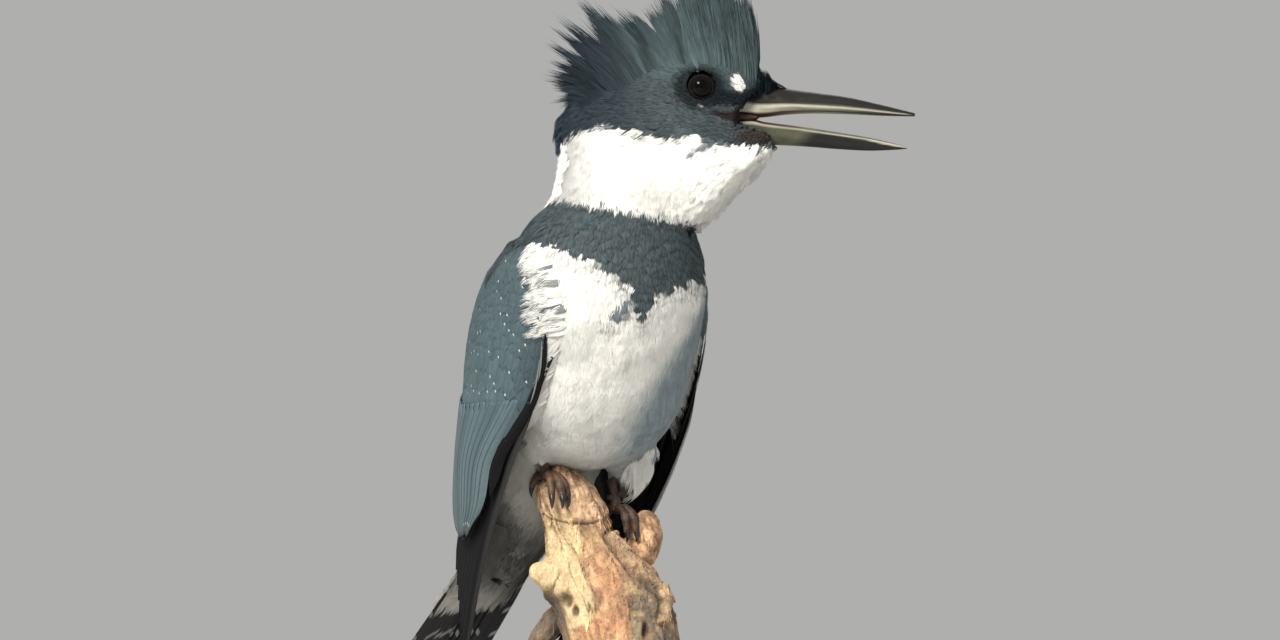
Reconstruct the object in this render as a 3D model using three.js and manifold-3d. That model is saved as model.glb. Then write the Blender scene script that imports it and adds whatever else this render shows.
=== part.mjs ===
// A male belted kingfisher, life size, gripping the top of a broken dead branch, as a still display model.
// The cut length of branch is the perch, and two short steel rods carry it on a flat round base.
//
// Units are millimetres and +Z is up. The origin is the centre of the base's underside, and the bird faces -Y.
// The bird is built in a frame of its own: +X ahead, +Y to its left, +Z up, from a point between its feet.
// Its head is turned to its left, and has a frame of its own at the top of the neck, with +X along the bill.
// The branch's frame has +X across the bird from its right to its left, and starts at the same point as the bird's.

import * as THREE from "three";
import { mergeVertices } from "three/addons/utils/BufferGeometryUtils.js";
import Module from "manifold-3d";

const wasm = await Module();
wasm.setup();

// ---------- driving dimensions ----------

const GAP = 0.3; // clearance between neighbouring solids
const HEAD_TURN = 52; // degrees that the head is turned to the bird's left
const NECK_TOP = [20.3, 0, 120]; // where the head turns on the neck
const BILL_BASE = 44; // where the bill starts, inside the feathers of the face
const UPPER_BILL = 63;
const LOWER_BILL = 60;
const MOUTH_CORNER = [46, 7.8];
const EYE_AT = [29.3, 12.4, 18.5];
const EYE_RADIUS = 5.2;

const PRIMARY_ROOT = [24, 36.8, 41];
const PRIMARY_TIP = [-47, 20, -70];
const TAIL_ROOT = [-47, 0, -29];
const TAIL_LENGTH = 92;
const TAIL_WIDTH = 41;
const TAIL_SLOPE = 44; // degrees below the horizontal
const TAIL_FEATHERS = 12;
const THIGH_APART = 20; // from the middle of the body to the top of each thigh
const TOE_WIDTH = 3.2;

const BRANCH_TURN = 52; // degrees from the bird's frame to the branch's
const PERCH_END = -104; // height of the branch's sawn end
const ROD_RADIUS = 4;
const ROD_APART = 20;
const ROD_SHOWN = 24;
const ROD_SUNK = 10; // how deep a rod goes into the branch and into the base
const BASE_RADIUS = 72;
const BASE_THICK = 14;

// ---------- small tools ----------

const degrees = THREE.MathUtils.degToRad;
const mix = THREE.MathUtils.lerp;
const vector = (p) => new THREE.Vector3(...p);

// A smooth reading, at x, of a short table whose rows are [place, value, value...] in rising order of place.
function read(table, x) {
  const last = table.length - 1;
  const place = THREE.MathUtils.clamp(x, table[0][0], table[last][0]);
  const next = table.findIndex((row, n) => n === last || (n > 0 && place <= row[0]));
  const [from, to] = [table[next - 1], table[next]];
  const [before, after] = [table[Math.max(next - 2, 0)], table[Math.min(next + 1, last)]];
  const width = to[0] - from[0];
  const t = (place - from[0]) / width;
  return from.slice(1).map((start, n) => {
    const rise = (a, b) => ((b[n + 1] - a[n + 1]) / (b[0] - a[0])) * width;
    const [end, leaving, arriving] = [to[n + 1], rise(before, to), rise(from, after)];
    const bend = 3 * (end - start) - 2 * leaving - arriving;
    const settle = 2 * (start - end) + leaving + arriving;
    return start + t * (leaving + t * (bend + t * settle));
  });
}

// A closed geometry as a solid, with its faces turned outwards.
function solid(geometry) {
  const bare = geometry.clone();
  bare.deleteAttribute("normal");
  bare.deleteAttribute("uv");
  const merged = mergeVertices(bare, 1e-4);
  const build = (triVerts) =>
    new wasm.Manifold(new wasm.Mesh({ numProp: 3, vertProperties: merged.attributes.position.array, triVerts }));
  const faces = new Uint32Array(merged.index.array);
  const made = build(faces);
  return made.volume() > 0 ? made : build(faces.reverse());
}

// A cylinder whose points are moved by place(t, angle, rim): t runs along it, and rim is 0 at the centre of an end.
function formed(around, along, place) {
  const geometry = new THREE.CylinderGeometry(1, 1, 1, around, along);
  const spots = geometry.attributes.position;
  for (let i = 0; i < spots.count; i++) {
    const [x, y, z] = [spots.getX(i), spots.getY(i), spots.getZ(i)];
    const rim = Math.hypot(x, z);
    spots.setXYZ(i, ...place(y + 0.5, rim < 1e-6 ? 0 : Math.atan2(z, x), rim));
  }
  return solid(geometry);
}

function ellipsoid(centre, radii, pitch = 0, detail = 3) {
  const ball = new THREE.IcosahedronGeometry(1, detail).scale(...radii);
  return solid(ball.rotateY(degrees(pitch)).translate(...centre));
}

// A flat lens from root to tip, such as a feather or a plume. shape(t) is its half width as a share of the widest.
function blade(root, tip, { width, thick, face, bow = 0, shape, around = 4, along = 3 }) {
  const [from, to] = [vector(root), vector(tip)];
  const axis = to.clone().sub(from);
  const out = vector(face).projectOnPlane(axis.clone().normalize()).normalize();
  const side = new THREE.Vector3().crossVectors(axis, out).normalize();
  return formed(around, along, (t, angle, rim) => {
    const half = (width / 2) * shape(t) * rim * Math.cos(angle);
    const lift = (thick / 2) * Math.sqrt(shape(t)) * rim * Math.sin(angle) + bow * Math.sin(Math.PI * t);
    return from.clone().addScaledVector(axis, t).addScaledVector(side, half).addScaledVector(out, lift).toArray();
  });
}

const plumeShape = (t) => Math.max(0.12, (1 - t ** 2.2) ** 0.8);
const featherShape = (t) => Math.max(0.25, Math.min(1, 0.5 + 2 * t) * (1 - t ** 4) ** 0.7);

// A round bar that follows a smooth path through the points, each [x, y, z, radius].
function bar(points, around = 5, along = 5) {
  const path = new THREE.CatmullRomCurve3(points.map((p) => new THREE.Vector3(p[0], p[1], p[2])));
  const sizes = points.map((p, i) => [i / (points.length - 1), p[3]]);
  const frames = path.computeFrenetFrames(along, false);
  return formed(around, along, (t, angle, rim) => {
    const step = Math.round(t * along);
    const radius = read(sizes, t)[0] * rim;
    return path.getPoint(t).addScaledVector(frames.normals[step], radius * Math.cos(angle))
      .addScaledVector(frames.binormals[step], radius * Math.sin(angle)).toArray();
  });
}

// Half of space: everything behind the plane through point that faces along normal, as a very large box.
function behind(point, normal) {
  const size = 600;
  const box = new THREE.BoxGeometry(size, size, size).translate(0, 0, -size / 2);
  const turn = new THREE.Quaternion().setFromUnitVectors(new THREE.Vector3(0, 0, 1), vector(normal).normalize());
  return solid(box.applyQuaternion(turn).translate(...point));
}

const union = (solids) => solids.reduce((sum, next) => sum.add(next));

// The largest of the bodies that a cut leaves.
const largest = (made) => made.decompose().reduce((best, next) => (next.volume() > best.volume() ? next : best));

const bodyFrame = new THREE.Matrix4();
const headFrame = new THREE.Matrix4().makeRotationZ(degrees(HEAD_TURN)).setPosition(...NECK_TOP);
const branchFrame = new THREE.Matrix4().makeRotationZ(degrees(BRANCH_TURN));
const from = (frame, point) => vector(point).applyMatrix4(frame).toArray();
const placed = (frame, made) => made.transform(frame.elements);

// ---------- the outline of the feathers, as one smooth form ----------

// An ellipsoid in a frame. pitch tips its front end down, in degrees.
function mass(frame, centre, radii, pitch = 0) {
  const own = new THREE.Matrix4().makeRotationY(degrees(pitch)).setPosition(...centre);
  return { toOwn: frame.clone().multiply(own).invert(), radii: vector(radii) };
}

const BLEND = 2.6; // how softly the masses run into one another
const BODY = [
  mass(bodyFrame, [14, 0, 67], [34, 36.5, 36]), // breast
  mass(bodyFrame, [9, 0, 50], [34, 35.5, 28]), // lower breast
  mass(bodyFrame, [3, 0, 35], [34, 36, 35], 15), // belly
  mass(bodyFrame, [14, 2, 81], [30, 28.5, 17], -10), // shoulders
  mass(bodyFrame, [-24, 0, 5], [18, 23, 33], 30), // rump and vent
  mass(bodyFrame, [-45, 0, -28], [29, 14, 11], 180 - TAIL_SLOPE), // tail coverts
  mass(bodyFrame, [20, 0, 101], [21, 22, 22]), // neck
];
const MASSES = [
  ...BODY,
  mass(headFrame, [20, 0, -18], [19, 17, 14]), // lower throat
  mass(headFrame, [21, 0, -12], [33, 21, 15], -16), // throat
  mass(headFrame, [18, 0, 2], [35, 20, 14]), // cheeks
  mass(headFrame, [25, 0, 16], [25, 16.5, 17]), // skull
  mass(headFrame, [-2, 0, 3], [20, 16, 17]), // nape
  mass(headFrame, [41, 0, 20], [11.5, 8, 15]), // forehead
  mass(headFrame, [43, 0, 12], [13, 7.5, 8], 12), // feathers over the bill
  mass(headFrame, [45, 0, -0.5], [14, 7, 3.5], 4), // feathers under the bill
];

// Rough distance from a point to the surface that the masses make together, negative inside.
function distance(masses, point) {
  let sum = 0;
  for (const { toOwn, radii } of masses) {
    const p = point.clone().applyMatrix4(toOwn).divide(radii);
    const near = p.length();
    const steep = p.divide(radii).length();
    sum += Math.exp((near * (1 - near)) / Math.max(steep, 1e-9) / BLEND);
  }
  return -BLEND * Math.log(sum);
}

// The form as a ball around a point inside it, whose points are pushed out to the surface, or grow beyond it.
function fleshAround(masses, centre, detail, grow = 0) {
  const geometry = new THREE.IcosahedronGeometry(1, detail);
  const spots = geometry.attributes.position;
  const start = vector(centre);
  for (let i = 0; i < spots.count; i++) {
    const ray = new THREE.Vector3().fromBufferAttribute(spots, i).normalize();
    const at = (r) => distance(masses, ray.clone().multiplyScalar(r).add(start)) - grow;
    let [inside, outside] = [0, 1];
    while (at(outside) < 0) [inside, outside] = [outside, outside + 1.5];
    for (let n = 0; n < 14; n++) {
      const middle = (inside + outside) / 2;
      if (at(middle) < 0) inside = middle;
      else outside = middle;
    }
    spots.setXYZ(i, ...ray.multiplyScalar(inside).add(start).toArray());
  }
  return solid(geometry);
}

const TRUNK_CENTRE = [-2, 0, 44];
const HEAD_CENTRE = from(headFrame, [20, 0, 8]);
const THROAT_CENTRE = from(headFrame, [12, 0, -16]);
const trunkRoom = fleshAround(BODY, TRUNK_CENTRE, 6, GAP);

// The two cuts through the neck: under the dark cap, and above the dark band on the breast.
const CAP_EDGE = { point: from(headFrame, [16, 0, -4.4]), normal: [0.02, 0.03, 1] };
const BAND_EDGE = { point: [9.9, 12.6, 93], normal: [0.111, 0.142, 1] };

// Everything above a cut, half a gap clear of it, or below it where turn is -1.
function sideOf({ point, normal }, turn) {
  const up = vector(normal).normalize().multiplyScalar(turn);
  return behind(vector(point).addScaledVector(up, GAP / 2).toArray(), up.clone().negate().toArray());
}

// ---------- head, bill and eyes ----------

// Sections of each half of the bill: share of the length, half width, and heights of the top and bottom edges.
const UPPER_SECTIONS = [
  [0, 6.6, 21, 9.6], [0.34, 4.6, 18, 10.2], [0.63, 3, 15.6, 10.2], [0.81, 1.9, 12.9, 9.7], [1, 0.5, 10.1, 9],
];
const LOWER_SECTIONS = [
  [0, 6.4, 7.2, -1.8], [0.36, 4.4, 4.4, -2.5], [0.66, 2.8, 0.9, -3.5], [0.85, 1.7, -1.1, -3.8], [1, 0.5, -3, -4.1],
];

// Half of the bill. ridge is 1 where its ridge is on top, as on the upper half, and -1 where it is below.
function billHalf(sections, length, ridge, grow = 0) {
  return formed(10, 6, (t, angle, rim) => {
    const [half, top, bottom] = read(sections, t);
    const flat = ridge > 0 ? bottom : top;
    const tall = top - bottom + grow;
    const rise = Math.sin(angle);
    const height = (rise > 0 ? rise ** 1.2 * tall : rise * (0.1 * tall + grow)) * ridge * rim;
    return [BILL_BASE + t * length + (t - 0.5) * 2 * grow, Math.cos(angle) * (half + grow) * rim, flat + height];
  });
}

const bills = [
  { name: "bill_upper", sections: UPPER_SECTIONS, length: UPPER_BILL, ridge: 1 },
  { name: "bill_lower", sections: LOWER_SECTIONS, length: LOWER_BILL, ridge: -1 },
].map(({ name, sections, length, ridge }) => ({
  name,
  made: placed(headFrame, billHalf(sections, length, ridge)),
  socket: placed(headFrame, billHalf(sections, length, ridge, GAP)),
}));

const eyes = [-1, 1].map((side) => {
  const centre = from(headFrame, [EYE_AT[0], EYE_AT[1] * side, EYE_AT[2]]);
  const ball = (radius, detail) => ellipsoid(centre, [radius, radius, radius], 0, detail);
  return { name: side < 0 ? "eye_right" : "eye_left", made: ball(EYE_RADIUS, 2), socket: ball(EYE_RADIUS + GAP, 2) };
});

// The space between the two halves of the open bill, cut back to the corner of the mouth.
const mouthShape = new THREE.Shape([MOUTH_CORNER, [90, 12], [90, -4]].map((p) => new THREE.Vector2(...p)));
const mouthBlock = new THREE.ExtrudeGeometry(mouthShape, { depth: 60, bevelEnabled: false });
const mouth = placed(headFrame, solid(mouthBlock.rotateX(Math.PI / 2).translate(0, 30, 0)));

const headForm = fleshAround(MASSES, HEAD_CENTRE, 5).intersect(sideOf(CAP_EDGE, 1));
const head = largest([...eyes, ...bills].reduce((rest, { socket }) => rest.subtract(socket), headForm).subtract(mouth));

// ---------- crest ----------

// Plumes fanned from a first to a last one, each given as its root and tip in the head's middle plane.
function plumeFan(count, first, last, { width, thick, spread }) {
  const plumes = [];
  for (let i = 0; i < count; i++) {
    const share = i / (count - 1);
    const across = ((i % 3) - 1) * spread;
    const [rootX, rootZ, tipX, tipZ] = first.map((v, k) => mix(v, last[k], share));
    const reach = i % 2 ? 0.9 : 1;
    const tip = [mix(rootX, tipX, reach), across * 1.2, mix(rootZ, tipZ, reach)];
    plumes.push(blade([rootX, across, rootZ], tip, { width, thick, face: [0, 1, 0], shape: plumeShape }));
  }
  return plumes;
}

const crestPlumes = [
  ellipsoid([30, 0, 41], [17, 8.5, 17], 0, 1),
  ellipsoid([-3, 0, 30], [15, 8.5, 16], 0, 1),
  ...plumeFan(3, [44, 22, 45, 59], [36, 30, 35, 68], { width: 14, thick: 10, spread: 3.5 }),
  ...plumeFan(3, [29, 30, 28, 67], [18, 32, 11, 58], { width: 15, thick: 10, spread: 3.5 }),
  ...plumeFan(3, [12, 28, 1, 50], [2, 26, -20, 52], { width: 16, thick: 9, spread: 3.5 }),
  ...plumeFan(3, [0, 28, -26, 36], [2, 19, -29, 19], { width: 12, thick: 9, spread: 3.5 }),
];
const crest = largest(placed(headFrame, union(crestPlumes)).subtract(fleshAround(MASSES, HEAD_CENTRE, 5, GAP)));

// ---------- neck and trunk ----------

const neck = largest(fleshAround(MASSES, THROAT_CENTRE, 4).intersect(sideOf(BAND_EDGE, 1)).intersect(sideOf(CAP_EDGE, -1)));
const trunk = largest(fleshAround(BODY, TRUNK_CENTRE, 6).intersect(sideOf(BAND_EDGE, -1)));

// ---------- wings ----------

// The outside of a folded wing, level by level: height, middle and half length fore and aft, half breadth of the
// pair, the angles of the wing's front and back edges round the body, and its thickness.
const WING_LEVELS = [
  [-27, -23, 25, 34, 98, 124, 2],
  [-15, -18, 30, 38.4, 78, 144, 4],
  [4, -12, 34, 41.4, 73, 160, 6],
  [25, -5, 38, 43.4, 60, 167, 8],
  [50, 1, 41, 44, 58, 164, 9],
  [70, 6, 38, 41, 68, 150, 8],
  [83, 9, 32, 33, 90, 126, 3],
];

function wingShell(side, grow = 0) {
  return formed(14, 9, (t, angle, rim) => {
    const [low, high] = [WING_LEVELS[0][0], WING_LEVELS.at(-1)[0]];
    const [middle, long, broad, front, back, thick] = read(WING_LEVELS, mix(high, low, t));
    const across = Math.sign(Math.cos(angle)) * Math.abs(Math.cos(angle)) ** 0.8 * rim;
    const outward = Math.sin(angle) * rim;
    const depth = (thick / 2) * (1 - outward) - grow * outward;
    const turn = degrees(mix(back, front, (across + 1) / 2)) - (across * grow) / broad;
    const height = mix(high + grow, low - grow, t);
    return [middle + (long - depth) * Math.cos(turn), side * (broad - depth) * Math.sin(turn), height];
  });
}

// The long outer feathers of the folded wing, the longest on the outside. They lie under the shell and reach past it.
function primaries(side) {
  const feathers = [0, 1, 2].map((i) => {
    const root = [PRIMARY_ROOT[0] - 1.5 * i, side * (PRIMARY_ROOT[1] - 0.6 * i), PRIMARY_ROOT[2]];
    const tip = [PRIMARY_TIP[0] - 0.8 * i, side * (PRIMARY_TIP[1] - 0.6 * i), PRIMARY_TIP[2] + 9 * i];
    return blade(root, tip, { width: 10, thick: 2.4, face: [0.1, side, 0], bow: 6, shape: featherShape, along: 5 });
  });
  return union(feathers);
}

const wings = [-1, 1].map((side) => ({
  hand: side < 0 ? "right" : "left",
  shell: largest(wingShell(side).subtract(trunkRoom)),
  primaries: largest(primaries(side).subtract(wingShell(side, GAP)).subtract(trunkRoom)),
}));

// ---------- tail ----------

function tailFan() {
  const slope = degrees(TAIL_SLOPE);
  const back = new THREE.Vector3(-Math.cos(slope), 0, -Math.sin(slope));
  const up = new THREE.Vector3(-Math.sin(slope), 0, Math.cos(slope));
  return formed(28, 4, (t, angle, rim) => {
    const across = Math.cos(angle) * rim;
    const half = (TAIL_WIDTH / 2) * mix(0.78, 1, t ** 0.7);
    const notch = 1.8 * Math.abs(Math.sin((across * Math.PI * TAIL_FEATHERS) / 4)) - 4 * across ** 2;
    const lift = (mix(4, 2, t) / 2) * (1 - 0.5 * across ** 2) * Math.sin(angle) * rim - 2.5 * across ** 2;
    return vector(TAIL_ROOT).addScaledVector(back, t * (TAIL_LENGTH - 1 + notch * t ** 3))
      .addScaledVector(up, lift).add(new THREE.Vector3(0, half * across, 0)).toArray();
  });
}

const tail = wings.reduce((rest, wing) => rest.subtract(wing.primaries), largest(tailFan().subtract(trunkRoom)));

// ---------- legs and feet ----------

// Where each foot stands, in the branch's frame.
const FEET = [
  { hand: "right", side: -1, at: [-14.2, -8, -2.2] },
  { hand: "left", side: 1, at: [11.5, 0, -14.5] },
];
const FRONT_TOES = [[-8, 11], [12, 13.5], [27, 12]]; // heading out from straight ahead, in degrees, and reach

function foot(at, side, grow = 0) {
  const [x, y, z] = from(branchFrame, at);
  const thick = TOE_WIDTH / 2 + grow;
  const toes = FRONT_TOES.map(([heading, reach]) => {
    const [ahead, out] = [Math.cos(degrees(heading)), side * Math.sin(degrees(heading))];
    const step = (share, drop, size) => [x + ahead * reach * share, y + out * reach * share, z - drop, size];
    const claw = 0.5 + grow;
    return bar([step(0, 0, thick), step(0.45, -0.4, thick), step(0.85, 2.6, thick), step(1, 8, thick * 0.9),
      step(0.95, 12.5, claw)]);
  });
  const heel = bar([[x, y, z, thick], [x - 5, y, z - 0.2, thick], [x - 8, y, z - 3.5, thick * 0.8],
    [x - 8.5, y, z - 7.5, 0.5 + grow]], 6, 4);
  const shank = bar([[x, y, z - 0.5, 2 + grow], [x - 1, y, z + 5, 1.8 + grow], [x - 3, y, z + 11, 1.8 + grow]], 6, 2);
  return union([...toes, heel, shank]);
}

// The feathered thigh, which narrows to the top of the foot.
function thigh(at, side, grow = 0) {
  const [x, y, z] = from(branchFrame, at);
  const hip = side * THIGH_APART;
  return bar([[x - 5, hip, z + 24 + grow, 10 + grow], [x - 4, mix(y, hip, 0.8), z + 15, 8.5 + grow],
    [x - 2, mix(y, hip, 0.35), z + 8, 5.2 + grow], [x - 0.5, y, z + 3 - grow, 2.8 + grow]], 10, 4);
}

const legs = FEET.map(({ hand, side, at }) => ({
  hand,
  thigh: largest(thigh(at, side).subtract(foot(at, side, GAP)).subtract(trunkRoom)),
  foot: largest(foot(at, side).subtract(trunkRoom)),
  room: foot(at, side, GAP).add(thigh(at, side, GAP)),
}));

// ---------- perch ----------

// The branch, level by level from its sawn end: height, middle across and in depth, half width and half depth.
const BRANCH_LEVELS = [
  [-104, 15, 0, 21, 18.5],
  [-80, 14, 0, 20.5, 18],
  [-60, 12.4, 0, 21, 18.5],
  [-46, 9.6, 0, 22.4, 18],
  [-34, 5.2, 0, 19, 16.5],
  [-22, -1.6, -1, 12.8, 14.5],
  [-12, -4.6, -3, 12, 13.5],
  [-5, -7.2, -4, 10.6, 11.5],
  [-1, -8, -4.5, 7.5, 8],
  [1.5, -8.5, -5, 3, 3],
];

function branch() {
  const trunkPart = formed(16, 11, (t, angle, rim) => {
    const height = mix(BRANCH_LEVELS[0][0], BRANCH_LEVELS.at(-1)[0], t ** 0.75);
    const [x, y, wide, deep] = read(BRANCH_LEVELS, height);
    const ridges = 1 + 0.05 * Math.sin(3 * angle + height * 0.06) + 0.035 * Math.sin(7 * angle - height * 0.11);
    return [x + wide * ridges * Math.cos(angle) * rim, y + deep * ridges * Math.sin(angle) * rim, height];
  });
  const knob = ellipsoid([21.3, 2, -25.5], [6.8, 8, 11.6], 8, 3);
  const splinter = bar([[-6, -6, -34, 6], [-14, -8, -37, 4], [-17.6, -9, -36, 2.4]], 7, 3);
  const sideBranch = bar([[4, 6, -44, 6], [-10, 8, -54, 5], [-17.5, 9, -64, 4.2], [-21, 9, -80, 3.6]], 8, 5);
  return placed(branchFrame, union([trunkPart, knob, splinter, sideBranch]));
}

const rodSpots = [-0.5, 0.5].map((share) => {
  const [x, y] = [BRANCH_LEVELS[0][1] + share * ROD_APART, BRANCH_LEVELS[0][2]];
  return from(branchFrame, [x, y, PERCH_END]);
});

function upright(spot, low, high, radius, around = 16) {
  const rod = new THREE.CylinderGeometry(radius, radius, high - low, around).rotateX(Math.PI / 2);
  return solid(rod.translate(spot[0], spot[1], (low + high) / 2));
}

const [floor, baseTop] = [PERCH_END - ROD_SHOWN - BASE_THICK, PERCH_END - ROD_SHOWN];
const rods = rodSpots.map((spot) => ({
  made: upright(spot, baseTop - ROD_SUNK, PERCH_END + ROD_SUNK, ROD_RADIUS),
  hole: upright(spot, baseTop - ROD_SUNK - GAP, PERCH_END + ROD_SUNK + GAP, ROD_RADIUS + GAP),
}));
const STAND_AT = from(branchFrame, [BRANCH_LEVELS[0][1], BRANCH_LEVELS[0][2], floor]);

// ---------- stand ----------

const EDGE = 1.5; // bevel round the base's top
const baseProfile = [[0, 0], [BASE_RADIUS, 0], [BASE_RADIUS, BASE_THICK - EDGE], [BASE_RADIUS - EDGE, BASE_THICK],
  [0, BASE_THICK]].map((p) => new THREE.Vector2(...p));
const disc = solid(new THREE.LatheGeometry(baseProfile, 32).rotateX(Math.PI / 2).translate(...STAND_AT));
const base = rods.reduce((rest, { hole }) => rest.subtract(hole), disc);
const perch = largest([trunkRoom, ...legs.map(({ room }) => room), ...rods.map(({ hole }) => hole)]
  .reduce((rest, room) => rest.subtract(room), branch()));

// ---------- assembly ----------

const material = (color, roughness, metalness = 0) => new THREE.MeshStandardMaterial({ color, roughness, metalness });
const SLATE = material(0x4a5c66, 0.85);
const WHITE = material(0xe9e9e2, 0.9);
const DARK = material(0x1d2023, 0.7);
const HORN = material(0x2b2d2e, 0.35);
const EYE = material(0x0b0807, 0.08);
const SKIN = material(0x2a2522, 0.6);
const BARK = material(0x9b7d62, 0.9);
const STEEL = material(0x8d9092, 0.35, 1);
const PAINTED = material(0x2c2c2c, 0.5);

const bird = new THREE.Group();
function add(name, made, finish) {
  const { vertProperties, triVerts } = made.getMesh();
  const geometry = new THREE.BufferGeometry();
  geometry.setAttribute("position", new THREE.BufferAttribute(new Float32Array(vertProperties), 3));
  geometry.setIndex(new THREE.BufferAttribute(new Uint32Array(triVerts), 1));
  const mesh = new THREE.Mesh(geometry, finish);
  mesh.name = name;
  bird.add(mesh);
}

add("head", head, SLATE);
add("crest", crest, SLATE);
add("neck", neck, WHITE);
add("trunk", trunk, WHITE);
add("tail", tail, DARK);
for (const { name, made } of bills) add(name, made, HORN);
for (const { name, made } of eyes) add(name, made, EYE);
for (const wing of wings) {
  add("wing_" + wing.hand, wing.shell, SLATE);
  add("primaries_" + wing.hand, wing.primaries, DARK);
}
for (const leg of legs) {
  add("thigh_" + leg.hand, leg.thigh, WHITE);
  add("foot_" + leg.hand, leg.foot, SKIN);
}
add("perch", perch, BARK);
add("stand_rod_right", rods[0].made, STEEL);
add("stand_rod_left", rods[1].made, STEEL);
add("stand_base", base, PAINTED);

// From the bird's frame to the part's: facing -Y, with the base's underside at the origin.
bird.rotation.z = degrees(-90);
bird.position.set(-STAND_AT[1], STAND_AT[0], -STAND_AT[2]);

const group = new THREE.Group();
group.add(bird);

export default group;
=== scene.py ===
import math

import bmesh
import bpy
import numpy as np
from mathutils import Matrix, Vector
from mathutils.bvhtree import BVHTree


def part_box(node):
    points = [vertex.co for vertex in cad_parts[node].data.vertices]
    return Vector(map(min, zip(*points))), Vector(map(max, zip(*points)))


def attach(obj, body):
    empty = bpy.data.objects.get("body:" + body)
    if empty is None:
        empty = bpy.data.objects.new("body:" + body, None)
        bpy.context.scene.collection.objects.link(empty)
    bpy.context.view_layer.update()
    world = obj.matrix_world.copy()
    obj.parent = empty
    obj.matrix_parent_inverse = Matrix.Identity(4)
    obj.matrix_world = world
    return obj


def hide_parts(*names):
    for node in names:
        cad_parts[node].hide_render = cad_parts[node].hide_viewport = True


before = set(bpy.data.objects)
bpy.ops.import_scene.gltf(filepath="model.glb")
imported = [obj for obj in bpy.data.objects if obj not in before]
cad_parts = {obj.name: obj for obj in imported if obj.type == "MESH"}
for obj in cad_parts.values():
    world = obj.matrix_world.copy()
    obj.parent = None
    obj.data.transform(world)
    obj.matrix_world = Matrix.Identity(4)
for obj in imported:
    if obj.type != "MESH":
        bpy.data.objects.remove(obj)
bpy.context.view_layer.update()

# ---------- the studio ----------
# The display stands on a round pale floor, in front of nothing but pale air.
# A wide warm lamp high on the bird's right gives the form, and a cool one opposite lifts the shaded side.

VIEW_FROM = -38.0  # degrees round the bird, from straight ahead of it
VIEW_WIDE = 0.4655  # metres across the picture at the bird
VIEW_FAR = 3.5
VIEW_ASIDE = 0.005  # how far the picture's middle lies beside the stand's, and below the top of the crest
VIEW_BELOW_CREST = 0.1335
stand_low, stand_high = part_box("stand_base")
crest_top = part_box("crest")[1].z
view_back = Vector((math.sin(math.radians(VIEW_FROM)), -math.cos(math.radians(VIEW_FROM)), 0))
view_right = Vector((-view_back.y, view_back.x, 0))
view_middle = (stand_low + stand_high) / 2 + view_right * VIEW_ASIDE
view_middle.z = crest_top - VIEW_BELOW_CREST


def added(name, data):
    """A new object in the scene."""
    made = bpy.data.objects.new(name, data)
    bpy.context.scene.collection.objects.link(made)
    return made


def stood(thing, way, far):
    """Puts a camera or a lamp this way and this far from the bird, looking back at it."""
    thing.location = view_middle + way * far
    thing.rotation_mode = "QUATERNION"
    thing.rotation_quaternion = (-way).to_track_quat("-Z", "Y")


camera = added("camera", bpy.data.cameras.new("camera"))
camera.data.sensor_width = 36
camera.data.lens = camera.data.sensor_width * VIEW_FAR / VIEW_WIDE
camera.data.clip_end = 100
stood(camera, view_back, VIEW_FAR)
bpy.context.scene.camera = camera
bpy.context.scene.view_settings.view_transform = "Standard"


def lamp(name, around, up, far, size, power, colour):
    """A square soft box aimed at the bird, from degrees round it and above the floor. Gives the way to it."""
    light = added(name, bpy.data.lights.new(name, "AREA"))
    light.data.size, light.data.energy, light.data.color = size, power, colour
    turn, rise = math.radians(around), math.radians(up)
    away = Vector((math.sin(turn) * math.cos(rise), -math.cos(turn) * math.cos(rise), math.sin(rise)))
    stood(light, away, far)
    return away


TOWARDS_KEY = np.array(lamp("key_lamp", VIEW_FROM - 27, 40, 1.6, 0.5, 38, (1.0, 0.965, 0.90)))
lamp("fill_lamp", VIEW_FROM + 62, 15, 2.2, 1.6, 2.5, (0.80, 0.90, 1.0))
lamp("back_lamp", VIEW_FROM + 165, 48, 2.0, 1.0, 14, (1.0, 0.97, 0.92))

world = bpy.data.worlds.new("pale_air")
world.use_nodes = True
air = world.node_tree.nodes["Background"]
air.inputs["Color"].default_value = (0.86, 0.855, 0.84, 1)
air.inputs["Strength"].default_value = 0.50
bpy.context.scene.world = world

FLOOR_RADIUS = 1.6
floor_mesh = bmesh.new()
bmesh.ops.create_circle(floor_mesh, cap_ends=True, segments=96, radius=FLOOR_RADIUS)
floor = added("floor", bpy.data.meshes.new("floor"))
floor_mesh.to_mesh(floor.data)
floor_mesh.free()
floor_paint = bpy.data.materials.new("floor_paint")
floor_paint.use_nodes = True
paint_shader = floor_paint.node_tree.nodes["Principled BSDF"]
paint_shader.inputs["Base Color"].default_value = (0.62, 0.61, 0.59, 1)
paint_shader.inputs["Roughness"].default_value = 0.9
floor.data.materials.append(floor_paint)

# ---------- the bird's skin ----------
# One skin over head, neck, trunk, folded wings and thighs, which the coat of feathers grows from.
# It is a thin pale hide drawn over the carcass, so it lies under the outline by the depth of the coat.

MM = 0.001
FLESH = ("head", "neck", "trunk", "wing_right", "wing_left", "thigh_right", "thigh_left")
HEAD_TURN = math.radians(52)
NECK_TOP = np.array([20.3, 0.0, 120.0])  # the head's own origin, from between the feet
FEET_BEHIND_WINGS = 19.79  # from the foremost point of the wings
FEET_OVER_CUT = 104  # from the branch's sawn end
wings_low, wings_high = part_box("wing_right")[0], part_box("wing_left")[1]
BIRD_AT = np.array([
    (wings_low.x + wings_high.x) / 2 / MM,
    wings_low.y / MM + FEET_BEHIND_WINGS,
    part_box("perch")[0].z / MM + FEET_OVER_CUT,
])
seeded = np.random.default_rng(11)


def place(points):
    """From the bird's millimetres (ahead, left, up, from between its feet) to metres in the part's frame."""
    points = np.asarray(points, float)
    ahead, left, up = points[..., 0], points[..., 1], points[..., 2]
    return (np.stack([left, -ahead, up], -1) + BIRD_AT) * MM


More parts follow.
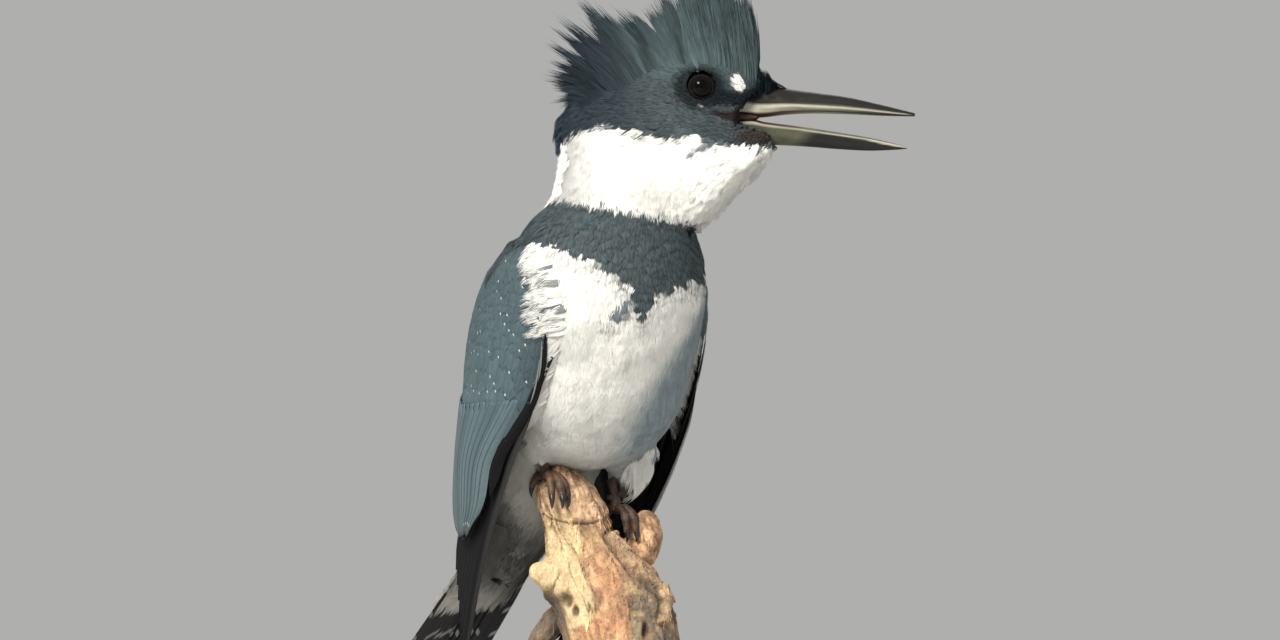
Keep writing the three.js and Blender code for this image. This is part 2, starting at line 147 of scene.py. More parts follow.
def unplace(points):
    """The other way round, from metres to the bird's millimetres."""
    moved = np.asarray(points, float) / MM - BIRD_AT
    return np.stack([-moved[..., 1], moved[..., 0], moved[..., 2]], -1)


def face(vectors):
    """A direction among the bird's axes, as one in the part's frame."""
    vectors = np.asarray(vectors, float)
    return np.stack([vectors[..., 1], -vectors[..., 0], vectors[..., 2]], -1)


def turned(points, turn):
    points = np.asarray(points, float)
    ahead, left = points[..., 0], points[..., 1]
    c, s = math.cos(turn), math.sin(turn)
    return np.stack([ahead * c - left * s, ahead * s + left * c, points[..., 2]], -1)


def from_head(points):
    """From the turned head's millimetres to the bird's."""
    return turned(points, HEAD_TURN) + NECK_TOP


def to_head(points):
    return turned(np.asarray(points, float) - NECK_TOP, -HEAD_TURN)


def unit(vectors):
    return vectors / np.maximum(np.linalg.norm(vectors, axis=-1, keepdims=True), 1e-12)


def square_to(heading, way):
    """The direction nearest to way that is square to heading."""
    return unit(way - heading * (heading * way).sum(-1, keepdims=True))


def spline(table, where):
    """A smooth reading of a table whose first column is the place."""
    places, values = table[:, 0], table[:, 1:]
    where = np.clip(where, places[0], places[-1])
    at = np.clip(np.searchsorted(places, where) - 1, 0, len(places) - 2)
    before, after = np.maximum(at - 1, 0), np.minimum(at + 2, len(places) - 1)
    wide = (places[at + 1] - places[at])[..., None]
    t = (where - places[at])[..., None] / wide
    leave = (values[at + 1] - values[before]) / (places[at + 1] - places[before])[..., None] * wide
    arrive = (values[after] - values[at]) / (places[after] - places[at])[..., None] * wide
    bend = 3 * (values[at + 1] - values[at]) - 2 * leave - arrive
    settle = 2 * (values[at] - values[at + 1]) + leave + arrive
    return values[at] + t * (leave + t * (bend + t * settle))


def mesh_piece(name, points, faces):
    """A new smooth object of these points, in metres, and faces, which all have as many corners."""
    mesh = bpy.data.meshes.new(name)
    points, faces = np.asarray(points, np.float32), np.asarray(faces, np.int32)
    count, corners = faces.shape
    mesh.vertices.add(len(points))
    mesh.vertices.foreach_set("co", points.ravel())
    mesh.loops.add(faces.size)
    mesh.loops.foreach_set("vertex_index", faces.ravel())
    mesh.polygons.add(count)
    mesh.polygons.foreach_set("loop_start", np.arange(0, faces.size, corners, dtype=np.int32))
    mesh.update(calc_edges=True)
    mesh.shade_smooth()
    return added(name, mesh)


def note(piece, name, values):
    """Writes one colour (as tint), vector or number for each point of a piece, for its finish to read."""
    values = np.asarray(values, np.float32)
    kind, what = ("FLOAT", "value") if values.ndim == 1 else ("FLOAT_VECTOR", "vector")
    if name == "tint":
        kind, what = "FLOAT_COLOR", "color"
        values = np.concatenate([values, np.ones((len(values), 1), np.float32)], -1)
    piece.data.attributes.new(name, kind, "POINT").data.foreach_set(what, values.ravel())


def read(items, what, width=1, kind=np.float32):
    """One property of every point, corner or face of a mesh."""
    values = np.zeros(len(items) * width, kind)
    items.foreach_get(what, values)
    return values.reshape(-1, width) if width > 1 else values


def points_of(piece):
    """A piece's points and the normals there."""
    return [read(piece.data.vertices, what, 3).astype(float) for what in ("co", "normal")]


def moved_points(piece, points):
    piece.data.vertices.foreach_set("co", points.astype(np.float32).ravel())
    piece.data.update()


def grown_copy(nodes, grow):
    """The solids of some nodes in one mesh, each made fatter by grow, so that they run into one another."""
    joined = bmesh.new()
    for node in nodes:
        single = bmesh.new()
        single.from_mesh(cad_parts[node].data)
        bmesh.ops.remove_doubles(single, verts=single.verts, dist=1e-5)
        single.normal_update()
        for corner in single.verts:
            corner.co += corner.normal * grow
        loose = bpy.data.meshes.new("loose")
        single.to_mesh(loose)
        single.free()
        joined.from_mesh(loose)
        bpy.data.meshes.remove(loose)
    mesh = bpy.data.meshes.new("joined")
    joined.to_mesh(mesh)
    joined.free()
    return added("joined", mesh)


def remade(source, name, voxel, rounds):
    """A fine even mesh of a source's outside, smoothed, as a new object."""
    remesh = source.modifiers.new("remesh", "REMESH")
    remesh.mode, remesh.voxel_size = "VOXEL", voxel
    smooth = source.modifiers.new("smooth", "SMOOTH")
    smooth.factor, smooth.iterations = 0.5, rounds
    bpy.context.view_layer.update()
    shown = source.evaluated_get(bpy.context.evaluated_depsgraph_get())
    mesh = bpy.data.meshes.new_from_object(shown)
    bpy.data.objects.remove(source)
    mesh.name = name
    return added(name, mesh)


def step_up(low, high, values):
    """0 below low, 1 above high, and an even rise between, for one number or many."""
    share = np.clip((values - low) / (high - low), 0, 1)
    return share * share * (3 - 2 * share)


def mixed(first, second, share):
    return first + (second - first) * np.asarray(share)[..., None]


def lattice_noise(points, scale, seed):
    """Smooth noise from 0 to 1 over space, from random values at the corners of a grid."""
    table = np.random.default_rng(seed).random((32, 32, 32))
    at = points / scale + 1000.0
    low = np.floor(at).astype(int)
    part = at - low
    part = part * part * (3 - 2 * part)
    total = 0
    for corner in np.ndindex(2, 2, 2):
        index = (low + corner) % 32
        weight = np.prod(np.where(np.array(corner) == 1, part, 1 - part), axis=-1)
        total = total + weight * table[index[..., 0], index[..., 1], index[..., 2]]
    return total


EYE_AT = np.array([29.3, 12.4, 18.5])  # in the head's millimetres
skin = remade(grown_copy(FLESH, 0.35 * MM), "skin", 1.0 * MM, 7)
outline, outward = points_of(skin)


COAT_THICKEST = 1.9
COAT_THINNEST = 0.5


def coat_depth(points):
    """How thick the coat is, in millimetres, at points of the bird: thinnest round the eyes and the bill."""
    head = to_head(points)
    on_head = np.clip((head[:, 2] + 22) / 26, 0, 1)
    near_bill = np.exp(-((head[:, 0] - 52) ** 2 + (head[:, 2] - 8) ** 2 * 0.7) / 260)
    near_eye = np.exp(-((head[:, 0] - EYE_AT[0]) ** 2 + (head[:, 2] - EYE_AT[2]) ** 2) / 90)
    on_leg = np.clip((14 - points[:, 2]) / 16, 0, 1) * (points[:, 0] > -14)
    thinned = (0.7 + 0.6 * near_bill + 0.4 * near_eye) * on_head + 0.6 * on_leg
    return np.maximum(COAT_THICKEST - thinned, COAT_THINNEST)


UPPER_EDGE = np.array([  # up and along: where the feathers end on the upper half of the bill
    [9.6, 41], [11.1, 43.9], [13.2, 45.9], [16, 49], [18, 52.5], [19.5, 56.5], [20.5, 60],
])
LOWER_EDGE = np.array([[-3.4, 62], [-0.4, 58], [2.5, 53], [4.3, 46], [6.0, 40], [7.4, 36], [9.0, 33]])


def bareness(points):
    """How bare of feathers the bird is at some points: 1 on the bill and in the corner of the mouth."""
    head = to_head(points)
    along, up = head[:, 0], head[:, 2]
    upper = np.interp(up, [9.0, *UPPER_EDGE[:, 0]], [33, *UPPER_EDGE[:, 1]])
    edge = np.where(up > 9.0, upper, np.interp(up, *LOWER_EDGE.T))
    return step_up(-0.4, 0.8, along - edge) * step_up(-3.6, -3.2, up) * step_up(20.6, 20.2, up)


HIDE_BELOW_COAT = 0.3
skin_points = outline - outward * ((coat_depth(unplace(outline)) + HIDE_BELOW_COAT) * MM)[:, None]
# Where the bill leaves the face the skin draws in behind it, and it opens at the corner of the mouth.
bare = bareness(unplace(outline))
snout = to_head(unplace(skin_points))
ahead_of_corner = bare * step_up(41, 45, snout[:, 0])
snout[:, 1] *= 1 - 0.62 * ahead_of_corner
in_gap = ahead_of_corner * step_up(4.0, 6.2, snout[:, 2]) * step_up(10.6, 9.4, snout[:, 2])
snout[:, 0] -= np.maximum(snout[:, 0] - 45.0, 0) * in_gap
skin_points = place(from_head(snout))
moved_points(skin, skin_points)
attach(skin, "root")
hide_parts(*FLESH)

SLATE = np.array([0.074, 0.106, 0.126])
BAND_SLATE = np.array([0.070, 0.091, 0.098])
DEEP_SLATE = np.array([0.019, 0.030, 0.043])
WHITE = np.array([0.80, 0.80, 0.765])
SOFT_GREY = np.array([0.30, 0.31, 0.31])
BLUE_GREY = np.array([0.20, 0.26, 0.30])
BLACK = np.array([0.012, 0.012, 0.014])
GAPE_RED = np.array([0.060, 0.018, 0.012])
CHIN_BROWN = np.array([0.085, 0.062, 0.052])
CAP_EDGE = np.array([  # along the head and up: where the dark cap ends above the white collar
    [-26, -3.4], [-22.7, -2.6], [-15, 1.6], [-6, 4.0], [5, 1.6], [15, -0.6], [20, -1.3], [23, -0.2],
    [26, 1.6], [29, 0.4], [32, -2.4], [37, -3.3], [46, -4.6], [55, -4.6],
])
BIB_EDGE = np.array([  # out from the middle of the breast and up: where the dark band ends above the belly
    [-42, 81], [-38, 80.5], [-33, 81.5], [-27, 76.5], [-19, 70], [-13.5, 64.5], [-11, 58], [-8.8, 52.5],
    [-6.8, 56.5], [-4, 64], [3, 67], [14, 67.8], [24, 68.5], [34, 77],
])
BELLY_SIDE = np.array([  # up, and degrees round the body: where the pale belly ends
    [-30, 150], [-15, 140], [0, 128], [20, 100], [34, 76], [50, 72], [64, 78], [80, 82], [90, 70],
])
VENT_WISPS = np.array([  # ahead, left, up; then how far each paler tuft reaches that way
    [-22, -7, -13, 6, 3.5, 2.8], [-25, -7.5, -27, 6, 3.0, 3.0], [-34, -4, -32, 4, 2.5, 4.0],
])
HEAD_SPOTS = [  # along, up, half length, half height, slant, where the edge starts and ends, colour, strength
    (43.0, 20.1, 2.3, 3.4, 0.15, 1.10, 0.90, WHITE * 1.1, 1.0),
    (51.7, 20.6, 1.7, 0.7, 0, 1.1, 0.8, SOFT_GREY, 0.8), (29.6, 11.6, 0.8, 0.5, 0, 1.2, 0.8, SOFT_GREY, 0.8),
    (50, 0.8, 9, 2.6, 0, 1.2, 0.6, CHIN_BROWN, 0.8),
]
TAIL_ROOT = np.array([-47.0, 0.0, -29.0])
TAIL_SLOPE = math.radians(44)
tail_back = np.array([-math.cos(TAIL_SLOPE), 0, -math.sin(TAIL_SLOPE)])
tail_up = np.array([-math.sin(TAIL_SLOPE), 0, math.cos(TAIL_SLOPE)])


def round_body(points):
    """The angle of a point round the body's own leaning axis, 0 straight ahead and 180 behind, in degrees."""
    axis = np.interp(points[:, 2], [-27, 83], [-23, 9])
    return np.degrees(np.arctan2(np.abs(points[:, 1]), points[:, 0] - axis))


WING_LEVELS = np.array([  # up; middle and half length fore and aft, half breadth, the two edges' angles
    [-27, -23, 25, 34, 98, 124], [-15, -18, 30, 38.4, 78, 144], [4, -12, 34, 41.4, 73, 160],
    [25, -5, 38, 43.4, 60, 167], [50, 1, 41, 44, 58, 164], [70, 6, 38, 41, 68, 150], [83, 9, 32, 33, 90, 126],
])


def wing_level(up):
    """The wing's middle, half length, half breadth and its edges' angles at any height."""
    return np.moveaxis(spline(WING_LEVELS, up), -1, 0)


def wing_polar(points):
    """Points' angles round the folded wing's oval from its front, in degrees, and their share of its size."""
    middle, long, broad = wing_level(points[:, 2])[:3]
    ahead, out = (points[:, 0] - middle) / long, np.abs(points[:, 1]) / broad
    return np.degrees(np.arctan2(out, ahead)), np.hypot(ahead, out)


def band_height(points):
    """How high the slate band's upper edge lies, where the collar begins."""
    return 93 - 0.111 * (points[:, 0] - 9.9) - 0.142 * (points[:, 1] - 12.6)


def markings(points, ragged=0.0):
    """The colour that skin and feathers share at points of the bird. ragged shifts its borders, in mm."""
    head = to_head(points)
    along, up = head[:, 0], head[:, 2]
    ahead, left, height = points.T
    tail_height = (points - TAIL_ROOT) @ tail_up
    # The belly is white between the dark sides, and both flanks are greyer. Its greying toward the vent and
    # its soft grey drifts are painted shade, and its far side and lower sides carry painted shade too.
    above_bib = height - np.interp(left, *BIB_EDGE.T) + 1.6 * ragged
    round_at = round_body(points)
    beside_belly = round_at - np.interp(height, *BELLY_SIDE.T) + ragged
    behind_vent = step_up(-16, -24, ahead) * step_up(24, 12, height)
    beside_belly = beside_belly * (1 - behind_vent) + (tail_height - 5) * 3 * behind_vent
    dark = np.maximum(step_up(-0.5, 0.5, above_bib), step_up(-2, 2, beside_belly))
    # Painted shade: the belly greys from the breast down toward the vent.
    shade = step_up(52, -18, height) * 0.50
    thigh = step_up(16, 12, height) * step_up(-20, -16, ahead) * step_up(24, 20, np.abs(left))
    flank = 0.30 * step_up(44, 66, round_at) * step_up(66, 40, height)
    # Painted shade: soft grey drifts across the belly.
    across, down = left * 0.8 - height * 0.6, left * 0.6 + height * 0.8
    drifts = lattice_noise(np.stack([across, down * 0.32, ahead * 0.5], -1), 6.5, 21)
    flank = np.maximum(flank, 0.34 * step_up(0.50, 0.78, drifts) * step_up(66, 44, height))
    # The far side turns blue-grey, partly the flanks' own colour and partly painted shade.
    far_low, far_wide = np.interp(height, [22, 45, 62], [-11, 4, 18]), np.interp(height, [22, 45], [16, 12])
    far_flank = 0.90 * step_up(far_low, far_low + far_wide, left)
    far_flank = far_flank * step_up(73, 64, height) * step_up(-10, 12, height)
    # Painted shade: the lower sides of the body grey toward the bottom.
    low_side = 0.3 * step_up(40, 62, round_at) * step_up(22, 4, height)
    grey = np.maximum(np.maximum(shade, flank), low_side)
    colour = mixed(mixed(WHITE, SOFT_GREY, grey), BLUE_GREY, far_flank)
    # Painted shade: the pale feathers under the tail are darkened to dark grey.
    under_tail = step_up(-19, -31, ahead) * step_up(24, 8, height) * step_up(-62, -36, height)
    colour = mixed(colour, SOFT_GREY * 0.30, under_tail * (0.85 + 0.08 * ragged))
    for wisp in VENT_WISPS:
        near = np.linalg.norm((points - wisp[:3]) / wisp[3:], axis=1)
        colour = mixed(colour, WHITE * 0.6, 0.5 * step_up(1.5, 0.3, near + 0.05 * ragged))
    colour = mixed(colour, mixed(SLATE, BAND_SLATE, step_up(-10, 10, ahead)), dark * (1 - thigh))
    # Under the wings the body is darkened with painted shade. Along the wings' front edges it is black,
    # partly for the black feathers there and partly as painted shade in the groove beside them.
    angle, far_out = wing_polar(points)
    reach = np.interp(height, [-6, 12, 30, 50], [3, 2, 1, 0])
    rim = step_up(-1.5, 1.5, angle - wing_level(height)[3] + reach + 1.2 * ragged) * step_up(52, 46, height)
    rim = rim * (ahead > -30) * step_up(-40, -36, height) * step_up(0.72, 0.84, far_out)
    inner = step_up(23, 27, np.abs(left)) * step_up(20, 12, height) * step_up(0, -4, ahead)
    colour = mixed(mixed(colour, SOFT_GREY * 0.22, inner), BLACK * 1.5, rim)
    off_knee = np.linalg.norm((points - [10, -28, 14.5]) / [9, 6, 7], axis=1) + 0.15 * ragged
    colour = mixed(colour, SOFT_GREY, 0.38 * step_up(1.2, 0.5, off_knee))
    # The legs are brown, and one slate smudge lies below the band.
    on_foot = step_up(-4, -7, height) * (ahead > -12) * (np.abs(left) < 24)
    colour = mixed(colour, CHIN_BROWN, on_foot)
    across = left + 17.0 - 0.6 * (height - 57.0)
    smudge = np.hypot(across / 3.0, (height - 57.5) / 6.0) + 0.15 * ragged
    colour = mixed(colour, SLATE * 1.15, 0.9 * step_up(1.15, 0.7, smudge) * (ahead > 15))
    # The collar goes all round the neck, and the hood over the head.
    # Painted shade: the collar greys toward the nape.
    collar = mixed(WHITE, SOFT_GREY, 0.55 * step_up(-2, -20, along))
    colour = mixed(colour, collar, step_up(-0.5, 0.5, height - band_height(points) + ragged))
    cap = step_up(-0.4, 0.4, up - np.interp(along, *CAP_EDGE.T) + ragged) * step_up(-34, -32, up)
    hood = mixed(BAND_SLATE * 0.95, SLATE * [1.05, 1.06, 0.96], step_up(18, 28, up))
    # The hood darkens toward the nape and the crown's top, partly as painted shade.
    hood = mixed(hood, DEEP_SLATE, 0.80 * step_up(20, -8, along) + 0.10 * step_up(22, 40, up))
    mask = np.hypot((along - 29.0) / 10.2, (up - 18.4) / 8.6)
    hood = mixed(hood, BLACK * [1.0, 1.4, 1.4], step_up(1.15, 0.72, mask))
    lores = step_up(2.6, 0.8, np.abs(up - np.interp(along, [30, 42, 54], [15.5, 14.2, 17.0])) - 1.0)
    hood = mixed(hood, DEEP_SLATE * 0.45, lores * step_up(31, 35, along) * 0.9)
    brow = step_up(46, 52, along) * step_up(10, 13, up)
    hood = mixed(hood, DEEP_SLATE * 0.55, brow * 0.8)
    gape = step_up(1.6, 0.4, np.abs(up - np.interp(along, [30, 48], [9.3, 8.0]))) * step_up(30, 36, along)
    bare_corner = bareness(points) * step_up(48, 46, along)
    hood = mixed(hood, mixed(GAPE_RED, BLACK, 0.7), np.maximum(gape * 0.8, bare_corner))
    for spot_along, spot_up, long, high, slant, start, end, tone, strength in HEAD_SPOTS:
        near = np.hypot((along - spot_along + (up - spot_up) * slant) / long, (up - spot_up) / high)
        hood = mixed(hood, tone, step_up(start, end, near) * strength)
    colour = mixed(colour, hood, cap)
    # One dark streak runs down from the cheek into the collar.
    down_streak = np.clip((33.7 - along) / 8.7, 0, 1)
    off_streak = np.hypot(along - 33.7 + 8.7 * down_streak, up + 1.8 + 4.7 * down_streak)
    return mixed(colour, SLATE * 0.9, 0.85 * step_up(1.9, 0.9, off_streak))


class Finish:
    """A new material, with the nodes that give a piece its finish."""

    def __init__(self, name, roughness, specular=0.5):
        self.material = bpy.data.materials.new(name)
        self.material.use_nodes = True
        self.shader = self.material.node_tree.nodes["Principled BSDF"]
        self.put(roughness, self.shader.inputs["Roughness"])
        self.put(specular, self.shader.inputs["Specular IOR Level"])

    def put(self, value, socket):
        """Links a node's output to a socket, or sets the socket to a value."""
        if isinstance(value, bpy.types.NodeSocket):
            self.material.node_tree.links.new(value, socket)
        else:
            socket.default_value = value

    def add(self, kind, inputs=None, **settings):
        node = self.material.node_tree.nodes.new(kind)
        for key, value in settings.items():
            setattr(node, key, value)
        for key, value in (inputs or {}).items():
            self.put(value, node.inputs[key])
        return node

    def noted(self, name, output="Color"):
        """What was noted for the piece's points under this name."""
        return self.add("ShaderNodeAttribute", attribute_name=name).outputs[output]

    def parts(self, name):
        """The three numbers of a noted vector."""
        return self.add("ShaderNodeSeparateXYZ", {"Vector": self.noted(name, "Vector")}).outputs

    def joined(self, x, y, z):
        return self.add("ShaderNodeCombineXYZ", {"X": x, "Y": y, "Z": z}).outputs[0]

    def place(self, stretch=(1.0, 1.0, 1.0)):
        """Where a point of the piece lies, in metres, times a stretch along each axis."""
        at = self.add("ShaderNodeTexCoord").outputs["Object"]
        return self.add("ShaderNodeMapping", {"Vector": at, "Scale": stretch}).outputs["Vector"]

    def noise(self, at, scale, detail=2.0, roughness=0.5):
        inputs = {"Vector": at, "Scale": scale, "Detail": detail, "Roughness": roughness}
        return self.add("ShaderNodeTexNoise", inputs).outputs["Fac"]

    def cells(self, scale):
        return self.add("ShaderNodeTexVoronoi", {"Vector": self.place(), "Scale": scale}).outputs["Distance"]

    def reckon(self, operation, first, second=0.0):
        return self.add("ShaderNodeMath", {0: first, 1: second}, operation=operation).outputs[0]

    def product(self, first, second):
        return self.reckon("MULTIPLY", first, second)

    def total(self, first, second):
        return self.reckon("ADD", first, second)

    def ramp(self, source, *stops):
        """Colours, or greys given as one number, that follow a source from stop to stop."""
        node = self.add("ShaderNodeValToRGB", {"Fac": source})
        while len(node.color_ramp.elements) < len(stops):
            node.color_ramp.elements.new(0.5)
        for element, (where, tone) in zip(node.color_ramp.elements, stops):
            element.position = where
            element.color = (*tone, 1) if isinstance(tone, tuple) else (tone, tone, tone, 1)
        return node.outputs["Color"]

    def blend(self, share, first, second, way="MIX"):
        node = self.add("ShaderNodeMix", data_type="RGBA", blend_type=way)
        for index, value in ((0, share), (6, first), (7, second)):
            self.put((*value, 1) if isinstance(value, tuple) else value, node.inputs[index])
        return node.outputs[2]

    def shaded(self, colour, source, *stops):
        """A colour times greys that follow a source."""
        return self.blend(1.0, colour, self.ramp(source, *stops), "MULTIPLY")

    def wear(self, colour, bump=None, strength=0.3, distance=0.0003):
        """Sets the shader's colour, and its normal from a height."""
        self.put(colour, self.shader.inputs["Base Color"])
        if bump is not None:
            raised = self.add("ShaderNodeBump", {"Height": bump, "Strength": strength, "Distance": distance})
            self.put(raised.outputs["Normal"], self.shader.inputs["Normal"])

    def dull(self, source, low, high):
        """Makes the roughness follow a source, from low to high."""
        inputs = {"Value": source, "From Min": 0.3, "From Max": 0.7, "To Min": low, "To Max": high}
        self.put(self.add("ShaderNodeMapRange", inputs).outputs["Result"], self.shader.inputs["Roughness"])


def dressed(piece, finish):
    """Gives a piece its finish, on the part's one body."""
    piece.data.materials.clear()
    piece.data.materials.append(finish.material)
    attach(piece, "root")


def feather_finish(name, streak, shaft, cloud, soft=0.0):
    """Matt barbs: fine streaks along each feather, a darker shaft down its middle, and soft clouds."""
    look = Finish(name, 0.7, 0.08)
    look.shader.subsurface_method = "BURLEY"
    look.put(soft, look.shader.inputs["Subsurface Weight"])
    look.put((1.0, 0.95, 0.9), look.shader.inputs["Subsurface Radius"])
    look.put(1.6 * MM, look.shader.inputs["Subsurface Scale"])
    across, along, seed = look.parts("vane")
    spread = look.joined(look.product(across, 5.0), along, look.product(seed, 60.0))
    barbs = look.noise(spread, 1.6, 3.0)
    colour = look.shaded(look.noted("tint"), barbs, (0.3, 1 - streak), (0.7, 1 + streak * 0.5))
    colour = look.shaded(colour, look.reckon("ABSOLUTE", across), (0.0, 1 - shaft), (0.32, 1))
    clouds = look.noise(look.place(), 190.0)
    colour = look.shaded(colour, clouds, (0.3, 1 - cloud), (0.7, 1 + cloud * 0.6))
    look.wear(colour, barbs, 0.25)
    return look


# The bare skin shows only as shade between the feathers' roots, and its colour is darkened in patches as
# painted shade.
hide = Finish("bare_skin", 0.8, 0.2)
down = hide.noise(hide.place(), 900.0, 4.0)
hide.wear(hide.shaded(hide.noted("tint"), down, (0.25, 0.45), (0.75, 0.85)), down, 0.5)
skin.data.materials.clear()
skin.data.materials.append(hide.material)
note(skin, "tint", markings(unplace(skin_points)))

skin.data.uv_layers.new(name="OFBake")
bpy.context.view_layer.objects.active = skin
skin.select_set(True)
bpy.ops.object.mode_set(mode="EDIT")
bpy.ops.mesh.select_all(action="SELECT")
bpy.ops.uv.smart_project(angle_limit=math.radians(66), island_margin=0.002)
bpy.ops.object.mode_set(mode="OBJECT")
skin.select_set(False)

# ---------- feathers of the face, collar, breast, belly, back and thighs ----------
# Contour feathers: soft vanes that lie over one another like tiles, with the tips of their barbs loose.
# They are short and tight on the face, longest on the belly and rump, and each lies along its neighbours.

skin_corners = read(skin.data.loops, "vertex_index", kind=np.int32)
skin_starts = read(skin.data.polygons, "loop_start", kind=np.int32)
skin_sides = read(skin.data.polygons, "loop_total", kind=np.int32)
skin_map = read(skin.data.uv_layers["OFBake"].data, "uv", 2)
skin_faces = [skin_corners[a:a + n] for a, n in zip(skin_starts, skin_sides)]
skin_normals = points_of(skin)[1]
face_middle = np.array([skin_points[f].mean(0) for f in skin_faces])
face_normal = unit(np.array([skin_normals[f].mean(0) for f in skin_faces]))
face_area = read(skin.data.polygons, "area")
face_map = np.array([skin_map[a:a + n].mean(0) for a, n in zip(skin_starts, skin_sides)])
skin_tree = BVHTree.FromPolygons(skin_points.tolist(), [corners.tolist() for corners in skin_faces])

LIE = np.array([  # where on the bird, and which way a feather there points, on its left side
    [48, 0, 84, 0.25, 0, -1], [50, 6, 66, 0, 0.05, -1], [42, 8, 44, -0.35, 0.05, -1],
    [30, 8, 20, -0.75, 0.1, -0.9], [8, 6, 2, -1, 0.1, -0.55], [-12, 4, -10, -1, 0, -0.7],
    [-40, 4, -42, -0.72, 0, -0.69], [30, 26, 80, 0, 0.15, -1], [28, 30, 50, -0.3, 0.1, -1],
    [14, 36, 66, -0.2, 0.1, -1], [5, 36, 35, -0.35, 0, -1], [-18, 22, 2, -0.7, -0.1, -0.8],
    [-24, 10, 66, -0.25, 0, -1], [-34, 8, 36, -0.35, 0, -1], [-44, 6, 4, -0.5, 0, -0.85],
    [-60, 5, -36, -0.72, 0, -0.69], [10, 22, 94, -0.3, 0.5, -0.8], [-12, 14, 86, -0.4, 0.1, -0.9],
])
HEAD_LIE = np.array([  # the same in the head's own millimetres
    [52, 5, 21, -0.55, 0.15, 0.85], [45, 6, 30, -0.35, 0, 1], [38, 10, 34, -0.4, 0, 1],
    [25, 10, 34, -0.75, 0, 0.7], [10, 10, 28, -1, 0, 0.4], [-8, 8, 18, -1, 0, 0.25],
    [54, 7, 14, -1, 0.35, 0.25], [44, 10, 16, -1, 0.4, 0.05], [38, 14, 24, -0.7, 0.3, 0.7],
    [30, 16, 27, -0.85, 0.1, 0.5], [20, 17, 18, -1, 0.1, 0.12], [36, 15, 8, -1, 0.3, -0.15],
    [26, 19, 4, -1, 0.15, -0.25], [12, 19, 8, -1, 0, -0.05], [0, 17, 6, -0.9, -0.1, -0.25],
    [-14, 10, 6, -0.8, 0, -0.5], [54, 5, 0, -1, 0.3, -0.35], [46, 6, -5, -0.8, 0.2, -0.6],
    [36, 10, -12, -0.7, 0.1, -0.75], [26, 14, -18, -0.5, 0, -0.9], [18, 16, -26, -0.2, 0, -1],
    [22, 19, -4, -0.6, 0.1, -0.7], [6, 18, -8, -0.45, 0, -0.9], [-12, 12, -8, -0.25, 0, -1],
    [-4, 12, -22, -0.1, 0, -1], [40, 4, -14, -0.6, 0, -0.8], [28, 5, -24, -0.35, 0, -0.95],
])


def both_sides(table):
    return np.concatenate([table, table * [1, -1, 1, 1, -1, 1]])


body_lie, head_lie = both_sides(LIE), both_sides(HEAD_LIE)
lie_spots = np.concatenate([body_lie[:, :3], from_head(head_lie[:, :3])])
lie_aims = unit(np.concatenate([body_lie[:, 3:], turned(head_lie[:, 3:], HEAD_TURN)]))


def lie_at(points):
    """Which way feathers point at points of the bird, as directions among its axes."""
    total = np.zeros_like(points)
    for spot, aim in zip(lie_spots, lie_aims):
        near = 1 / (((points - spot) ** 2).sum(-1) + 9) ** 2
        total += near[..., None] * aim
    return unit(total)


def nearest_skin(points):
    """The nearest spots of the skin to points in metres, its normals there, and its faces."""
    spots, faces = np.empty_like(points), np.empty(len(points), int)
    for i, point in enumerate(points):
        found = skin_tree.find_nearest(point)
        spots[i], faces[i] = found[0], found[2]
    return spots, face_normal[faces], faces


ROOT_SUNK = 0.35  # millimetres that a feather's root and tip dip below its lift
TIP_SUNK = 0.22


def laid(roots, length, rise, steps, aims=None, stray=0.12):
    """Centre lines of feathers that follow the skin from their roots: their points, the directions out and
    across at each, and the roots' places on the bake map."""
    count = len(roots)
    spots = np.empty((count, steps + 1, 3))
    outs, sides = np.empty_like(spots), np.empty_like(spots)
    point, turn = roots.copy(), seeded.normal(0, stray, count)
    heading = None
    for step in range(steps + 1):
        near, normal, faces = nearest_skin(point)
        aim = face(lie_at(unplace(near))) if aims is None else aims
        aim = unit(aim + np.cross(normal, aim) * turn[:, None])
        heading = aim if heading is None else unit(heading * 0.5 + aim)
        heading = square_to(normal, heading)
        share = step / steps
        lift = rise * (1 - (1 - share) ** 2.6) - ROOT_SUNK * (1 - share) ** 3 - TIP_SUNK * share**4
        spots[:, step] = near + normal * np.reshape(lift * MM, (-1, 1))
        outs[:, step], sides[:, step] = normal, np.cross(heading, normal)
        if step == 0:
            root_map = face_map[faces]
        point = near + heading * (length / steps * MM)[:, None]
    return spots, outs, sides, root_map


def free_lines(spots, way):
    """Centre lines of feathers through spots in metres, with their flat sides turned to face way."""
    heading = unit(np.gradient(spots, axis=1))
    out = square_to(heading, way)
    return spots, out, np.cross(heading, out), face_map[nearest_skin(spots[:, 0])[2]]


def bowed(start, middle, end, steps):
    """Points along bows from each start to its end, drawn toward its middle."""
    share = np.linspace(0, 1, steps)[None, :, None]
    way_in, way_out = start[:, None] * (1 - share) ** 2, end[:, None] * share**2
    return way_in + middle[:, None] * 2 * share * (1 - share) + way_out


def bake_map(piece, places):
    """Gives a piece its bake map, from one place for each of its points."""
    corners = read(piece.data.loops, "vertex_index", kind=np.int32)
    layer = piece.data.uv_layers.new(name="OFBake")
    layer.data.foreach_set("uv", places.reshape(-1, 2)[corners].astype(np.float32).ravel())


OUTER_SHORTER = 0.22  # the share of its length by which a feather's outermost strand ends sooner
STRAND_OVERLAP = 1.3  # the breadth of a strand over its share of the feather's


